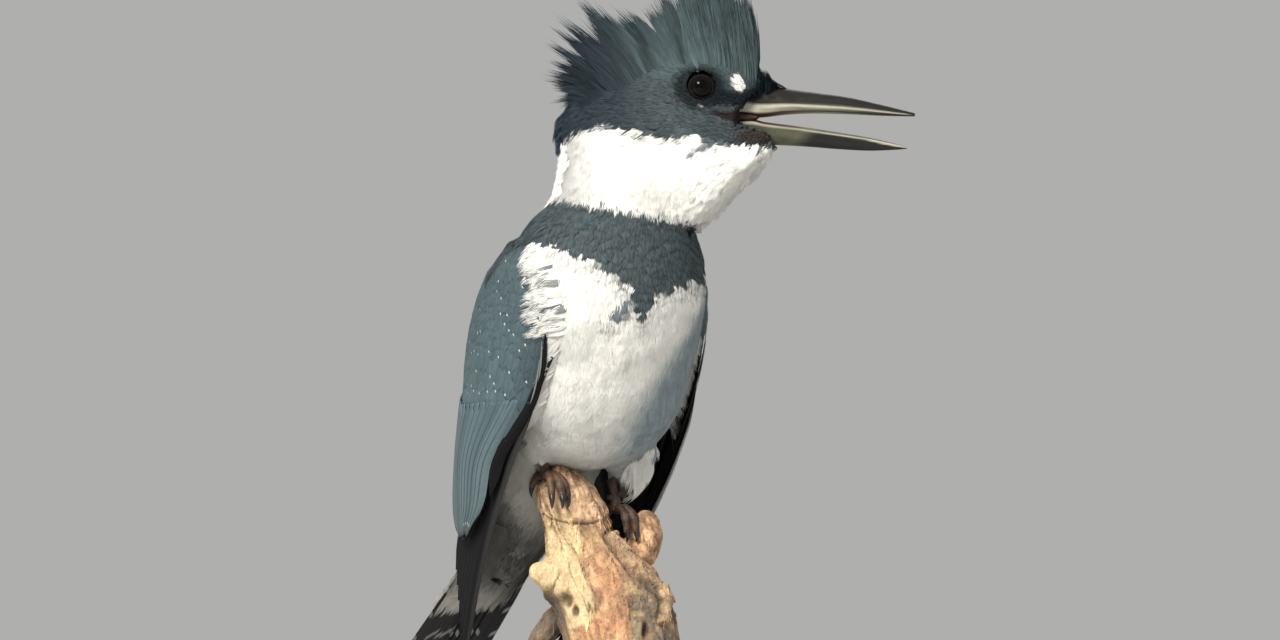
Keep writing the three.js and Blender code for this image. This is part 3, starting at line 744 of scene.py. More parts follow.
def plumage(name, lines, width, strands, fray, tints, finish, ragged=0.16, crown=0.12, tidy=1.0, gloss=0.4):
    """One mesh of many feathers. Each is a fan of strands side by side, joined as a vane up to fray of its
    length, and loose and tapering from there to its tip."""
    spots, outs, sides, root_map = lines
    count, rows = spots.shape[:2]
    tiny = seeded.random((count, strands))
    across = (2 * np.arange(strands) + 1) / strands - 1
    reach = 1 - OUTER_SHORTER * across**2 - ragged * tiny
    shares = np.linspace(0, 1, rows)
    # Each strand reads the centre line at its own pace, so that the outer ones end earlier.
    pace = reach[:, :, None] * shares * (rows - 1)
    lower = np.minimum(pace.astype(int), rows - 2)
    part = (pace - lower)[..., None]
    pick = np.arange(count)[:, None, None]
    line = spots[pick, lower] * (1 - part) + spots[pick, lower + 1] * part
    out, side = outs[pick, lower], sides[pick, lower]
    vane = np.interp(shares, [0, 0.25, 0.6, 1], [0.35, 0.85, 1, 0.72])
    lanes = np.broadcast_to(across[None, :, None], (count, strands, rows))
    half_width = width[:, None, None] * 0.5 * MM
    wander = seeded.normal(0, 0.10 * tidy, (count, strands, 1)) * shares**2
    offset = (lanes * vane + wander) * half_width
    drop = seeded.normal(0, 0.8 * crown * MM, (count, strands, 1)) * shares
    drop = drop - crown * lanes**2 * vane * half_width
    taper = np.where(shares < fray, 1.0, np.maximum(1 - (shares - fray) / (1.0001 - fray), 0) ** 0.8)
    edge = STRAND_OVERLAP / strands * vane * taper
    half = (edge * half_width)[..., None]
    centre = line + side * offset[..., None] + out * drop[..., None]

    def rimmed(first_edge, second_edge, tip):
        """The values along a strand's two edges and at its one tip."""
        return np.concatenate([first_edge[:, :, :-1], second_edge[:, :, :-1], tip[:, :, -1:]], 2)

    corners = rimmed(centre - side * half, centre + side * half, centre)
    per = corners.shape[2]
    k = np.arange(rows - 2)
    quads = np.stack([k, k + rows - 1, k + rows, k + 1], -1)
    tip = [[rows - 2, 2 * rows - 3, 2 * rows - 2]]
    fan = np.concatenate([quads[:, [0, 1, 2]], quads[:, [0, 2, 3]], tip])
    faces = (np.arange(count * strands)[:, None, None] * per + fan).reshape(-1, 3)
    made = mesh_piece(name, corners.reshape(-1, 3), faces)

    lane = rimmed(lanes - edge, lanes + edge, lanes)
    walk = np.broadcast_to(shares, (count, strands, rows)) * reach[:, :, None]
    walk = rimmed(walk, walk, walk)
    seed = np.broadcast_to(seeded.random((count, 1, 1)), lane.shape)
    note(made, "vane", np.stack([lane, walk, seed], -1).reshape(-1, 3))
    # The barbs shade like the soft surface that they make together, rounded a little over each feather.
    soft = unit(rimmed(out, out, out) + rimmed(side, side, side) * (lane * gloss)[..., None])
    made.data.normals_split_custom_set_from_vertices(soft.reshape(-1, 3))
    shown = tints[:, None, None, :] * np.ones((1, strands, per, 1))
    note(made, "tint", shown.reshape(-1, 3))
    bake_map(made, root_map[:, None, None, :] + 0.0015 * np.stack([np.clip(lane, -1, 1), walk * 2 - 1], -1))
    dressed(made, finish)
    return made


def under_wing(points, margin=0.0):
    """True where the skin belongs to a folded wing. margin draws the wing's edges in, in degrees."""
    front, back = wing_level(points[:, 2])[3:]
    angle, far = wing_polar(points)
    inside = (angle > front + margin) & (angle < back - margin) & (far > 0.88)
    return inside & (points[:, 2] > -27) & (points[:, 2] < 84)


bird_middle = unplace(face_middle)
skin_ahead, skin_left, skin_up = bird_middle.T
head_middle = to_head(bird_middle)
on_wing = under_wing(bird_middle, 2.0)
on_rim = np.where(skin_up < 12, under_wing(bird_middle, -16.0), under_wing(bird_middle, -5.0))
on_rim = on_rim & ~on_wing & (skin_up < 54) & (skin_ahead > -30)
cap_low = np.interp(head_middle[:, 0], *CAP_EDGE.T) + 3.0
on_cap = (head_middle[:, 2] > cap_low) & (head_middle[:, 2] > -9)
on_collar = ~on_cap & (skin_up > band_height(bird_middle) + 1.5)
on_thigh = (skin_up < 8) & (skin_ahead > -16) & (np.abs(skin_left) > 5)
on_trunk = ~on_cap & ~on_collar & ~on_wing & ~on_rim
is_dark = markings(bird_middle)[:, 0] < 0.19
hidden = (np.hypot(*(head_middle - EYE_AT)[:, ::2].T) < 4.6) & (np.abs(head_middle[:, 1]) > 9)
hidden |= bareness(bird_middle) > 0.5
for foot_ahead, foot_left, top in ((7.1, 9.1, -1.0), (-2.4, -16.1, 2.0)):
    off_shank = np.hypot(skin_ahead - foot_ahead, skin_left - foot_left)
    hidden |= (off_shank < 8) & (skin_up < top)


def sown(where, spacing):
    """Roots in metres, spread evenly over some of the skin's faces, about spacing millimetres apart."""
    chosen = np.flatnonzero(where & ~hidden)
    count = int(face_area[chosen].sum() / (spacing * MM) ** 2 * 2.2)
    picks = seeded.choice(chosen, count, p=face_area[chosen] / face_area[chosen].sum())
    spots = np.empty((count, 3))
    for i, pick in enumerate(picks):
        ring = skin_points[skin_faces[pick]]
        spots[i] = seeded.dirichlet(np.ones(len(ring))) @ ring
    cells = np.floor(spots / (spacing * MM)).astype(int)
    kept = np.unique(cells, axis=0, return_index=True)[1]
    return spots[np.sort(kept)]


soft_feathers = feather_finish("contour_feathers", 0.08, 0.04, 0.10, soft=0.3)
slate_feathers = feather_finish("slate_feathers", 0.26, 0.34, 0.14)


def coat(name, where, spacing, sizes, slimness, strands, steps, fray, rise, finish, glow=None, **more):
    """Contour feathers over part of the skin. sizes gives each one's length in millimetres from its root, and
    glow how far the shading normals are turned toward the key lamp, so that the feathers look lit through
    from the far side."""
    roots = sown(where, spacing)
    at = unplace(roots)
    length = (sizes(at) if callable(sizes) else sizes) * seeded.uniform(0.85, 1.12, len(roots))
    depth = coat_depth(at) * rise
    uneven = 0.12 if finish is slate_feathers else 0.04
    lines = laid(roots, length, depth * seeded.uniform(1 - uneven, 1 + uneven, len(roots)), steps)
    if glow is not None:
        lines = (lines[0], unit(lines[1] + glow(at)[:, None, None] * TOWARDS_KEY), *lines[2:])
    seen = unplace(lines[0][:, int(steps * 0.7)])
    tints = markings(seen, seeded.normal(0, 0.8, len(roots)))
    pale = step_up(0.3, 0.7, tints[:, :1])
    tints = tints * (1 + seeded.uniform(-0.14, 0.10, (len(roots), 1)) * (1 - 0.75 * pale))
    return plumage(name, lines, length * slimness, strands, fray, tints, finish, **more)


def face_length(points):
    head = to_head(points)
    from_bill = np.hypot(head[:, 0] - 54, head[:, 2] - 10)
    from_eye = np.hypot(head[:, 0] - EYE_AT[0], head[:, 2] - EYE_AT[2])
    by_bill = np.interp(from_bill, [0, 12, 30, 60], [1.8, 2.6, 4.6, 7.5])
    return np.minimum(by_bill, np.interp(from_eye, [4, 12], [1.6, 5.5]))


SOFT = dict(ragged=0.30, crown=0.06, gloss=0.14)
FIRM = dict(crown=0.06, gloss=0.25)
on_front = (skin_ahead > -2) & (skin_up > 40)
on_face = on_cap & (head_middle[:, 0] > 20)
on_belly = on_trunk & ~is_dark & ~on_thigh
coat("coat_face", on_face, 0.85, face_length, 0.42, 3, 4, 0.45, 1.0, slate_feathers)
coat("coat_hood", on_cap & ~on_face, 1.15, lambda at: face_length(at) * 1.05, 0.36, 4, 4, 0.4, 1.1,
     slate_feathers)
coat("coat_collar", on_collar, 1.15, 8.0, 0.34, 5, 5, 0.45, 1.1, soft_feathers,
     lambda at: 0.9 * step_up(12, 34, to_head(at)[:, 0]), **SOFT)
coat("coat_breast", on_trunk & is_dark & on_front, 1.5, 7.5, 0.55, 5, 5, 0.7, 1.05, slate_feathers, **FIRM)
coat("coat_belly", on_belly & (skin_up > 20), 1.5, 11.0, 0.36, 6, 5, 0.4, 1.1, soft_feathers, **SOFT)
coat("coat_vent", on_belly & (skin_up <= 20), 1.7, 12.0, 0.38, 6, 5, 0.4, 1.1, soft_feathers, **SOFT)
coat("coat_back", on_trunk & is_dark & ~on_front, 1.8, 9.0, 0.60, 5, 5, 0.7, 1.05, slate_feathers, **FIRM)
coat("coat_thighs", on_thigh, 1.1, 5.0, 0.42, 4, 4, 0.4, 1.2, soft_feathers, **SOFT)


def wing_spot(side, share, up, out=0.0):
    """A spot on the folded wing, from its front edge at share 0 to its back edge at 1, raised by out."""
    middle, long, broad, front, back = wing_level(up)
    angle = np.radians(front + (back - front) * share)
    return np.stack([middle + (long + out) * np.cos(angle), side * (broad + out) * np.sin(angle), up], -1)


def wing_locks(name, locks, low_up, high_up, each, inward, over, drop, out, tone):
    """Locks of soft feathers from the trunk beside each wing's front edge to spots on the wing."""
    count = locks * each
    lock_up = np.linspace(low_up, high_up, locks) + seeded.uniform(-1.2, 1.2, locks)
    lock_over = seeded.uniform(*over, locks)
    side = np.where(np.arange(count) % 2 == 0, -1.0, 1.0)
    lock = np.arange(count) // each
    up = lock_up[lock] + seeded.normal(0, 1.5, count)
    middle, wide, broad, front, _ = wing_level(up)
    turn = np.radians(front - seeded.uniform(*inward, count))
    root = np.stack([middle + wide * 0.96 * np.cos(turn), side * broad * 0.96 * np.sin(turn), up], -1)
    root, normal, _ = nearest_skin(place(root))
    root = unplace(root - normal * 0.2 * MM)
    tip_up = lock_up[lock] - seeded.uniform(*drop, count)
    share = lock_over[lock] * seeded.uniform(0.6, 1.1, count)
    tip = wing_spot(side, share, tip_up, out * seeded.uniform(0.7, 1.2, count))
    outward = unit(np.stack([(tip[:, 0] + root[:, 0]) * 0.5 + 4, tip[:, 1], 0 * up], -1))
    bow = bowed(root, (root + tip) / 2 + outward * (1.5 + out), tip, 8)
    tints = tone(root, side, up)
    width = np.clip(np.linalg.norm(tip - root, axis=1) * 0.26, 1.5, 3.0)
    lines = free_lines(place(bow), face(outward)[:, None])
    plumage(name, lines, width, 6, 0.28, tints, soft_feathers, ragged=0.4, crown=0.08, gloss=0.2)


def fringe_tone(root, side, up):
    grey = np.maximum(0.9 * step_up(0.45, 0.98, seeded.random(len(up))), (side > 0) & (up < 70))
    return mixed(np.broadcast_to(WHITE, root.shape), BAND_SLATE * 1.2, grey)


def flank_tone(root, side, up):
    return mixed(markings(root), WHITE * 0.9, 0.8 * step_up(8, 16, up))


# Fringes of the breast lie in locks over the front of each folded wing, with its slate showing between them.
wing_locks("coat_fringe", 19, 53, 81, 48, (1, 17), (0.02, 0.16), (2.0, 7.0), 1.2, fringe_tone)
wing_locks("coat_flanks", 20, 16, 50, 26, (2, 10), (-0.035, -0.004), (5.0, 9.0), 0.5, flank_tone)

# Slate feathers of the shoulder hang over the top of each folded wing.
count = 900
side = np.where(seeded.random(count) < 0.5, -1.0, 1.0)
up = seeded.uniform(74, 93, count)
angle = np.radians(seeded.uniform(74, 172, count))
middle, wide, broad = wing_level(np.minimum(up, 83))[:3]
draw_in = 1 - 0.035 * np.maximum(up - 80, 0)
spots = np.stack([middle + wide * draw_in * np.cos(angle), side * broad * draw_in * np.sin(angle), up], -1)
aims = np.stack([-0.30 - 0.25 * np.sin(angle), side * 0.25, np.full(count, -1.0)], -1)
tints = mixed(SLATE, BAND_SLATE, 0.6) * seeded.uniform(0.86, 1.08, (count, 1))
length = seeded.uniform(9, 12, count)
lines = laid(nearest_skin(place(spots))[0], length, 2.9, 7, face(aims))
plumage("coat_shoulders", lines, length * 0.46, 5, 0.3, tints, slate_feathers, **FIRM)


def hanging(name, places, ways, spread, long, clear, slim, aside, each=26, tone=WHITE, finish=soft_feathers):
    """Locks of feathers round places on the head, aimed along ways, with their tips clear of the coat and
    their flat sides turned aside."""
    count = len(places) * each
    lock = np.arange(count) // each
    roots = from_head(places[lock] + seeded.normal(0, 1.0, (count, 3)) * spread)
    aims = face(turned(unit(ways[lock] + seeded.normal(0, 0.07, (count, 3))), HEAD_TURN))
    tall = 1.1 * coat_depth(roots) + clear[lock] * seeded.uniform(0.3, 1.2, count)
    length = seeded.uniform(*long, len(places))[lock] * seeded.uniform(0.7, 1.1, count)
    lines = laid(nearest_skin(place(roots))[0], length, tall, 7, aims, 0.1)
    lines = free_lines(lines[0], face(turned(aside, HEAD_TURN)))[:3] + lines[3:]
    tints = tone * seeded.uniform(0.92, 1.02, (count, 1))
    plumage(name, lines, length * slim, 4, 0.3, tints, finish, **SOFT)


# Tips hang in ragged locks along the throat, off the nape, at the hood's edge and over the left knee.
locks = 40
share = np.linspace(0.02, 0.98, locks)
throat = np.stack([55 - 29 * share, seeded.normal(-0.5, 1.4, locks), -4.5 - 27 * share], -1)
ways = np.stack([-0.50 + 0.2 * share, seeded.normal(0, 0.08, locks), np.full(locks, -1.0)], -1)
clear = np.where(np.arange(locks) % 3 == 0, seeded.uniform(1.0, 2.2, locks), 0.15)
hanging("coat_beard", throat, ways, [0.5, 1.0, 0.4], (3.5, 6.5), clear, 0.15, (-0.1, -1.0, 0.25), 22)
locks = 18
share = np.linspace(0, 1, locks)
behind = (-0.4, -1.0, 0.1)
beside = np.tile([-7.0, 0.0, 7.0], 6) + seeded.normal(0, 1.5, locks)
nape = np.stack([-23 - share, beside, -3 - 16 * share], -1)
ways = np.tile([-0.55, 0, -0.95], (locks, 1))
clear = seeded.uniform(0.2, 1.4, locks)
hanging("coat_nape", nape, ways, [0.6, 2.0, 0.8], (5.0, 8.0), clear, 0.2, behind)
beside = np.tile([-6.0, 0.0, 6.0], 6) + seeded.normal(0, 1.5, locks)
hood_edge = np.stack([np.full(locks, -23.5), beside, 12 - 13 * share], -1)
ways = ways + [-0.5, 0, 0.15]
clear = np.where(np.arange(locks) % 2 == 0, seeded.uniform(1.0, 2.6, locks), 0.1)
hanging("coat_hood_edge", hood_edge, ways, [0.5, 1.6, 0.5], (5.0, 8.5), clear, 0.13, behind, 16,
        DEEP_SLATE * 1.3, slate_feathers)
knee = to_head([[9, 20, 11], [8.5, 19, 7], [7, 17.5, 3], [10, 17, 6], [6, 18.5, 0], [8, 21, 4]])
ways = turned(np.tile([[-0.12, -0.30, -1.0]], (6, 1)), -HEAD_TURN)
hanging("coat_knee", knee, ways, [1.3, 1.3, 1.3], (9.0, 12.0), np.full(6, 1.2), 0.16, (0.6, -1.0, 0.3))

# Pale coverts lie in rows under the root of the tail, greyed with painted shade, most toward the tail's root.
rows, columns = np.meshgrid(np.arange(15), np.linspace(-1, 1, 19), indexing="ij")
rows, columns = rows.ravel(), columns.ravel() + 0.05 * (rows.ravel() % 2)
count = len(rows)
start = -16 + rows * 2.7 + seeded.normal(0, 0.6, count)
beside = columns * 15.5 + seeded.normal(0, 0.4, count)
long = seeded.uniform(12, 16, count)
shares = np.linspace(0, 1, 8)
far = start[:, None] + long[:, None] * shares
full = np.interp(far, [-16, -4, 10, 24, 38], [8.0, 7.6, 5.4, 3.2, 1.6])
full = full * (1 - 0.5 * (beside[:, None] / 17) ** 2) - 0.8 * (1 - shares) ** 2
spots = TAIL_ROOT + far[..., None] * tail_back - full[..., None] * tail_up
spots[..., 1] += beside[:, None]
under = unit(np.stack([np.full(count, -tail_up[0]), 0.05 * beside, np.full(count, -tail_up[2])], -1))
# Painted shade: the coverts are grey at the tail's root and lighter outward.
tints = mixed(SOFT_GREY * 0.5 + np.zeros((count, 3)), WHITE * 0.62, step_up(2, 22, start))
tints = tints * seeded.uniform(0.85, 1.1, (count, 1))
lines = free_lines(place(spots), face(under)[:, None])
plumage("coat_undertail", lines, np.full(count, 5.4), 8, 0.45, tints, soft_feathers, **SOFT)

# ---------- the crest ----------
# Long narrow plumes grow from the crown and stand in two ragged fans, over the eyes and over the nape.
# Each is a stiff dark shaft with loose barbs, and they lie close together towards the middle of the head.

CREST_FAN = np.array([  # along and up in the head's middle plane: a plume's root, then its tip
    [48.6, 24, 46.6, 57], [46.5, 27, 43, 62.5], [42, 31, 36, 67], [36, 33, 29, 68.5], [30, 33.5, 21, 66],
    [25, 33.5, 13.5, 60.5], [21, 33, 7.5, 53], [17, 32.5, 5, 45.5], [12, 31, -4, 47.5], [7, 29.5, -13, 50],
    [3, 27.5, -19, 50], [-1, 25, -23.5, 39], [-4, 22, -25.5, 31.5], [-6, 19, -27, 23.5],
    [-8, 16, -27.5, 17.5], [-9, 11, -23, 10.5], [-10, 6, -25.5, 2.5], [-11, 2, -24, -3.5],
])


def crest_plumes(count, low, high, locks, reach):
    """Centre lines of plumes from between two places in the fan, whose tips are drawn together into ragged
    locks. reach is how much of the full length they have. Gives their lengths and locks too."""
    place_in_fan = seeded.uniform(low, high, count)
    turn = np.radians(seeded.uniform(-66, 66, count))
    lean = np.sin(turn)
    # Each lock has its own place in the fan, side and length, and takes the plumes that grow nearest to it.
    lock_place = np.sort(seeded.uniform(low - 0.2, high + 0.2, locks))
    lock_lean = seeded.uniform(-0.75, 0.75, locks)
    lock_reach = seeded.uniform(*reach, locks)
    apart = (place_in_fan[:, None] - lock_place) ** 2 + (0.8 * (lean[:, None] - lock_lean)) ** 2
    lock = apart.argmin(1)
    together = seeded.uniform(0.45, 0.9, count)[:, None]

    def fan_at(places):
        return np.stack([np.interp(places, np.arange(len(CREST_FAN)), CREST_FAN[:, k]) for k in range(4)], -1)

    fan, lock_fan = fan_at(place_in_fan), fan_at(lock_place)[lock]
    breadth = np.interp(fan[:, 0], [-12, 10, 35, 50], [12, 16, 14.5, 7])
    root = np.stack([fan[:, 0], breadth * lean, fan[:, 1] - 15 * (1 - np.cos(turn))], -1)
    root, normal, _ = nearest_skin(place(from_head(root)))
    root = to_head(unplace(root - normal * 0.4 * MM))
    own_tip = np.stack([fan[:, 2], 4.5 * lean, fan[:, 3]], -1)
    lock_tip = np.stack([lock_fan[:, 2], 5.5 * lock_lean[lock], lock_fan[:, 3]], -1)
    tip = mixed(own_tip, lock_tip, together[:, 0]) + seeded.normal(0, 0.5, (count, 3))
    share = lock_reach[lock] * seeded.uniform(0.72, 1.0, count) * (1 - 0.62 * np.abs(lean) ** 1.6)
    tip = root + (tip - root) * share[:, None]
    long = np.linalg.norm(tip - root, axis=1)
    outward = turned(np.stack([-normal[:, 1], normal[:, 0], normal[:, 2]], -1), -HEAD_TURN)
    bulge = root + (tip - root) * 0.42 + outward * (0.08 * long * (1 - 0.5 * share))[:, None]
    sideways = face(turned([0.0, 1.0, 0.0], HEAD_TURN)) * np.sign(lean)[:, None, None]
    sideways = sideways + seeded.normal(0, 0.22, (count, 1, 3))
    return free_lines(place(from_head(bowed(root, bulge, tip, 9))), sideways), long, lock


crest_parts = [  # name, how many plumes, from and to in the fan, how many locks, least and most reach
    ("crest_front", 1150, 0, 6.4, 34, (0.86, 1.04)), ("crest_rear", 1050, 6.6, 14.6, 34, (0.86, 1.26)),
    ("crest_nape", 460, 13.2, 17, 16, (0.7, 1.02)),
]
for name, count, low, high, locks, reach in crest_parts:
    lines, long, lock = crest_plumes(count, low, high, locks, reach)
    shade = seeded.uniform(0.66, 1.22, locks)[lock] * seeded.uniform(0.72, 1.12, count)
    tints = markings(unplace(lines[0][:, 3])) * shade[:, None]
    width = np.clip(long * 0.11, 1.3, 3.0)
    made = plumage(name, lines, width, 6, 0.18, tints, slate_feathers, ragged=0.3, tidy=1.5)
    if name == "crest_front":
        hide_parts("crest")

# ---------- wing coverts ----------
# Small firm feathers in rows, like roof tiles, over the folded wing from the shoulder to the flight feathers.
# They are slate blue with a darker shaft, and many carry one tiny white dot at the tip.


def wing_breadth(up):
    _, long, broad, front, back = wing_level(up)
    return np.radians(back - front) * (long + broad) / 2


VANE_SHAPE = ([0, 0.1, 0.4, 0.75, 0.9, 0.97, 1], [0.30, 0.62, 1, 0.97, 0.72, 0.42, 0.12])


def vane_finish(name, edge, shaft, dots=0.0, bars=0.0, roughness=0.5, specular=0.12):
    """Firm vanes: a paler edge, a dark shaft, barbs slanting from it, and white dots or bars across."""
    look = Finish(name, roughness, specular)
    across, along, seed = look.parts("vane")
    half, long, dotted = look.parts("size")
    middle = look.reckon("ABSOLUTE", across)
    slant = look.total(look.product(along, long), look.product(middle, half))
    spread = look.joined(look.product(slant, 1.3), across, look.product(seed, 70.0))
    barbs = look.noise(spread, 2.2, 3.0)
    colour = look.shaded(look.noted("tint"), barbs, (0.32, 0.84), (0.68, 1.10))
    colour = look.shaded(colour, look.product(middle, half), (0.0, 1 - shaft), (0.55, 1))
    colour = look.shaded(colour, middle, (0.80, 1), (0.97, 1 + edge))
    if dots:
        beside = look.product(look.total(across, -0.25), half)
        beyond = look.product(look.total(along, -0.90), long)
        away = look.total(look.product(beside, beside), look.product(beyond, beyond))
        dot = look.ramp(look.product(look.reckon("SQRT", away), 0.5 / dots), (0.35, 1), (0.62, 0))
        strength = look.product(dot, look.product(dotted, 0.75))
        colour = look.blend(strength, colour, (0.62, 0.66, 0.66))
    if bars:
        wave = look.reckon("DIVIDE", look.total(slant, look.product(seed, -3.0)), bars)
        wave = look.reckon("FRACT", wave)
        bar = look.ramp(wave, (0.66, 0), (0.72, 1), (0.84, 1), (0.90, 0))
        outer = look.ramp(middle, (0.45, 0), (0.60, 1))
        strength = look.product(look.product(look.product(bar, outer), dotted), 0.7)
        colour = look.blend(strength, colour, (0.36, 0.37, 0.37))
    look.wear(colour, barbs, 0.4)
    return look


def blade(rows, columns):
    """How far along a feather, and across it, the points of its grid lie."""
    return np.linspace(0, 1, rows)[None, :, None], np.linspace(-1, 1, columns)[None, None, :]


def vanes(name, grid, tints, half, long, dotted, finish, thick=0.0, root_map=None):
    """One mesh of firm feathers from their grids of points (feather, row, column), in metres. With a
    thickness they are closed blades, and otherwise single sheets that lie on others. Without a root_map
    each has a strip of the bake map to itself."""
    shape = grid.shape[:3]
    count, rows, columns = shape
    along, across = (np.broadcast_to(values, shape) for values in blade(rows, columns))
    seed = np.broadcast_to(seeded.random((count, 1, 1)), shape)
    sizes = [np.broadcast_to(np.reshape(value, (-1, 1, 1)), shape) for value in (half, long, dotted)]
    tints = np.broadcast_to(tints if tints.ndim > 2 else tints[:, None, None], (*shape, 3))
    i, j = np.meshgrid(np.arange(rows - 1), np.arange(columns - 1), indexing="ij")
    a = (i * columns + j).ravel()
    sheet = np.stack([a, a + 1, a + columns + 1, a + columns], -1)
    per = rows * columns
    layers = [grid]
    if thick:
        over = unit(np.cross(np.gradient(grid, axis=2), np.gradient(grid, axis=1)))
        deep = over * thick / 2 * MM * (1 - 0.85 * np.abs(across) ** 3)[..., None]
        layers = [grid + deep, grid - deep]
        ring = np.concatenate([np.arange(columns), np.arange(1, rows) * columns + columns - 1,
                               (rows - 1) * columns + np.arange(columns - 2, -1, -1),
                               np.arange(rows - 2, 0, -1) * columns])
        around = np.stack([ring, ring + per, np.roll(ring, -1) + per, np.roll(ring, -1)], -1)
        sheet = np.concatenate([sheet, sheet[:, ::-1] + per, around])
    points = np.stack(layers, 1).reshape(count, -1, 3)
    faces = (np.arange(count)[:, None, None] * points.shape[1] + sheet).reshape(-1, 4)
    made = mesh_piece(name, points.reshape(-1, 3), faces)

    def on_each_layer(values):
        return np.stack([values] * len(layers), 1).reshape(len(points) * points.shape[1], -1)

    note(made, "vane", on_each_layer(np.stack([across, along, seed], -1)))
    note(made, "size", on_each_layer(np.stack(sizes, -1)))
    note(made, "tint", on_each_layer(tints))
    patch = [0.006, 0.006]
    if root_map is None:
        patch = [0.9 / count, 0.9]
        root_map = np.stack([(np.arange(count) + 0.5) / count, np.full(count, 0.5)], -1)
    places = root_map[:, None, None] + patch * np.stack([across * 0.5, along - 0.5], -1)
    bake_map(made, on_each_layer(places))
    dressed(made, finish)
    return made


def wing_vanes(side, share, up, long, half, base, lift, drift, rows, columns, hollow=0.2):
    """Grids of feathers that lie on the folded wing and point to its tip, and their bake map places."""
    t, s = blade(rows, columns)
    fray = seeded.normal(0, 0.012, (len(share), 1, columns)) * (t > 0.8)
    share, up, long, half, base, lift, drift = (
        np.reshape(value, (-1, 1, 1)) for value in (share, up, long, half, base, lift, drift))
    height = up - long * (t + fray) * (1 - 0.10 * s**2 * t)
    wide = half * np.interp(t, *VANE_SHAPE)
    where = share + drift * t + s * wide / wing_breadth(height)
    raised = base + lift * t + hollow * (1 - s**2) * wide / 2
    grid = place(wing_spot(side, where, height, raised))
    return grid, face_map[nearest_skin(grid[:, 0, columns // 2])[2]]


def wing_tone(up):
    """The wing's slate at some heights: darker by the shoulder, partly as painted shade, and bluer and paler
    toward the wing's tip.
    """
    return np.stack([np.interp(up, [-20, 10, 40, 80], tones) for tones in (
        (0.112, 0.098, 0.074, 0.062), (0.158, 0.142, 0.112, 0.090), (0.176, 0.160, 0.130, 0.100))], -1)


covert_finish = vane_finish("wing_coverts", 0.02, 0.22, dots=0.5)
COVERT_ROWS = [  # height of the first row, how many rows and how far apart, length, half width, rise
    (82, 14, 2.6, 8.5, 2.9, 0.20), (46, 5, 3.6, 11.5, 3.7, 0.25), (28.5, 3, 5.0, 17.0, 4.2, 0.3),
]
for side, hand in ((-1, "right"), (1, "left")):
    rows = []
    for first, count, apart, long, half, rise in COVERT_ROWS:
        for row in range(count):
            up = first - row * apart
            breadth = float(wing_breadth(np.array([min(up - long * 0.5, 83)]))[0])
            number = max(int(breadth / (half * 1.25)), 3)
            shares = np.arange(number) + 0.5 * (row % 2) + seeded.uniform(-0.12, 0.12, number)
            for share in shares / (number - 0.5):
                height = up + seeded.normal(0, 0.9)
                rows.append((share, height, long * seeded.uniform(0.9, 1.15), half, rise))
    share, up, long, half, rise = np.array(rows).T
    count = len(share)
    grid, root_map = wing_vanes(side, share, up, long, half, -0.4, rise + 0.2, 0.0, 9, 7)
    tone = seeded.uniform(0.90, 1.10, count)
    # Painted shade: coverts by the wing's front edge are darker, under the fringe.
    tints = wing_tone(up - long * 0.7) * tone[:, None] * np.interp(share, [-0.05, 0.14], [0.5, 1])[:, None]
    dotted = (seeded.random(count) < np.interp(up, [16, 30, 66, 80], [0.42, 0.30, 0.20, 0.05])).astype(float)
    vanes("coverts_" + hand, grid, tints, half, long, dotted, covert_finish,
          root_map=root_map)

# ---------- flight feathers ----------
# Long stiff quills. The secondaries close the wing and are slate blue with white dots on their edges.
# Under them lie the black primaries, which reach past the wing, and black coverts along its front edge.

quill_finish = vane_finish("secondaries", 0.9, 0.60, dots=0.6)
black_finish = vane_finish("primaries", 0.4, 0.25, roughness=0.6, specular=0.04)


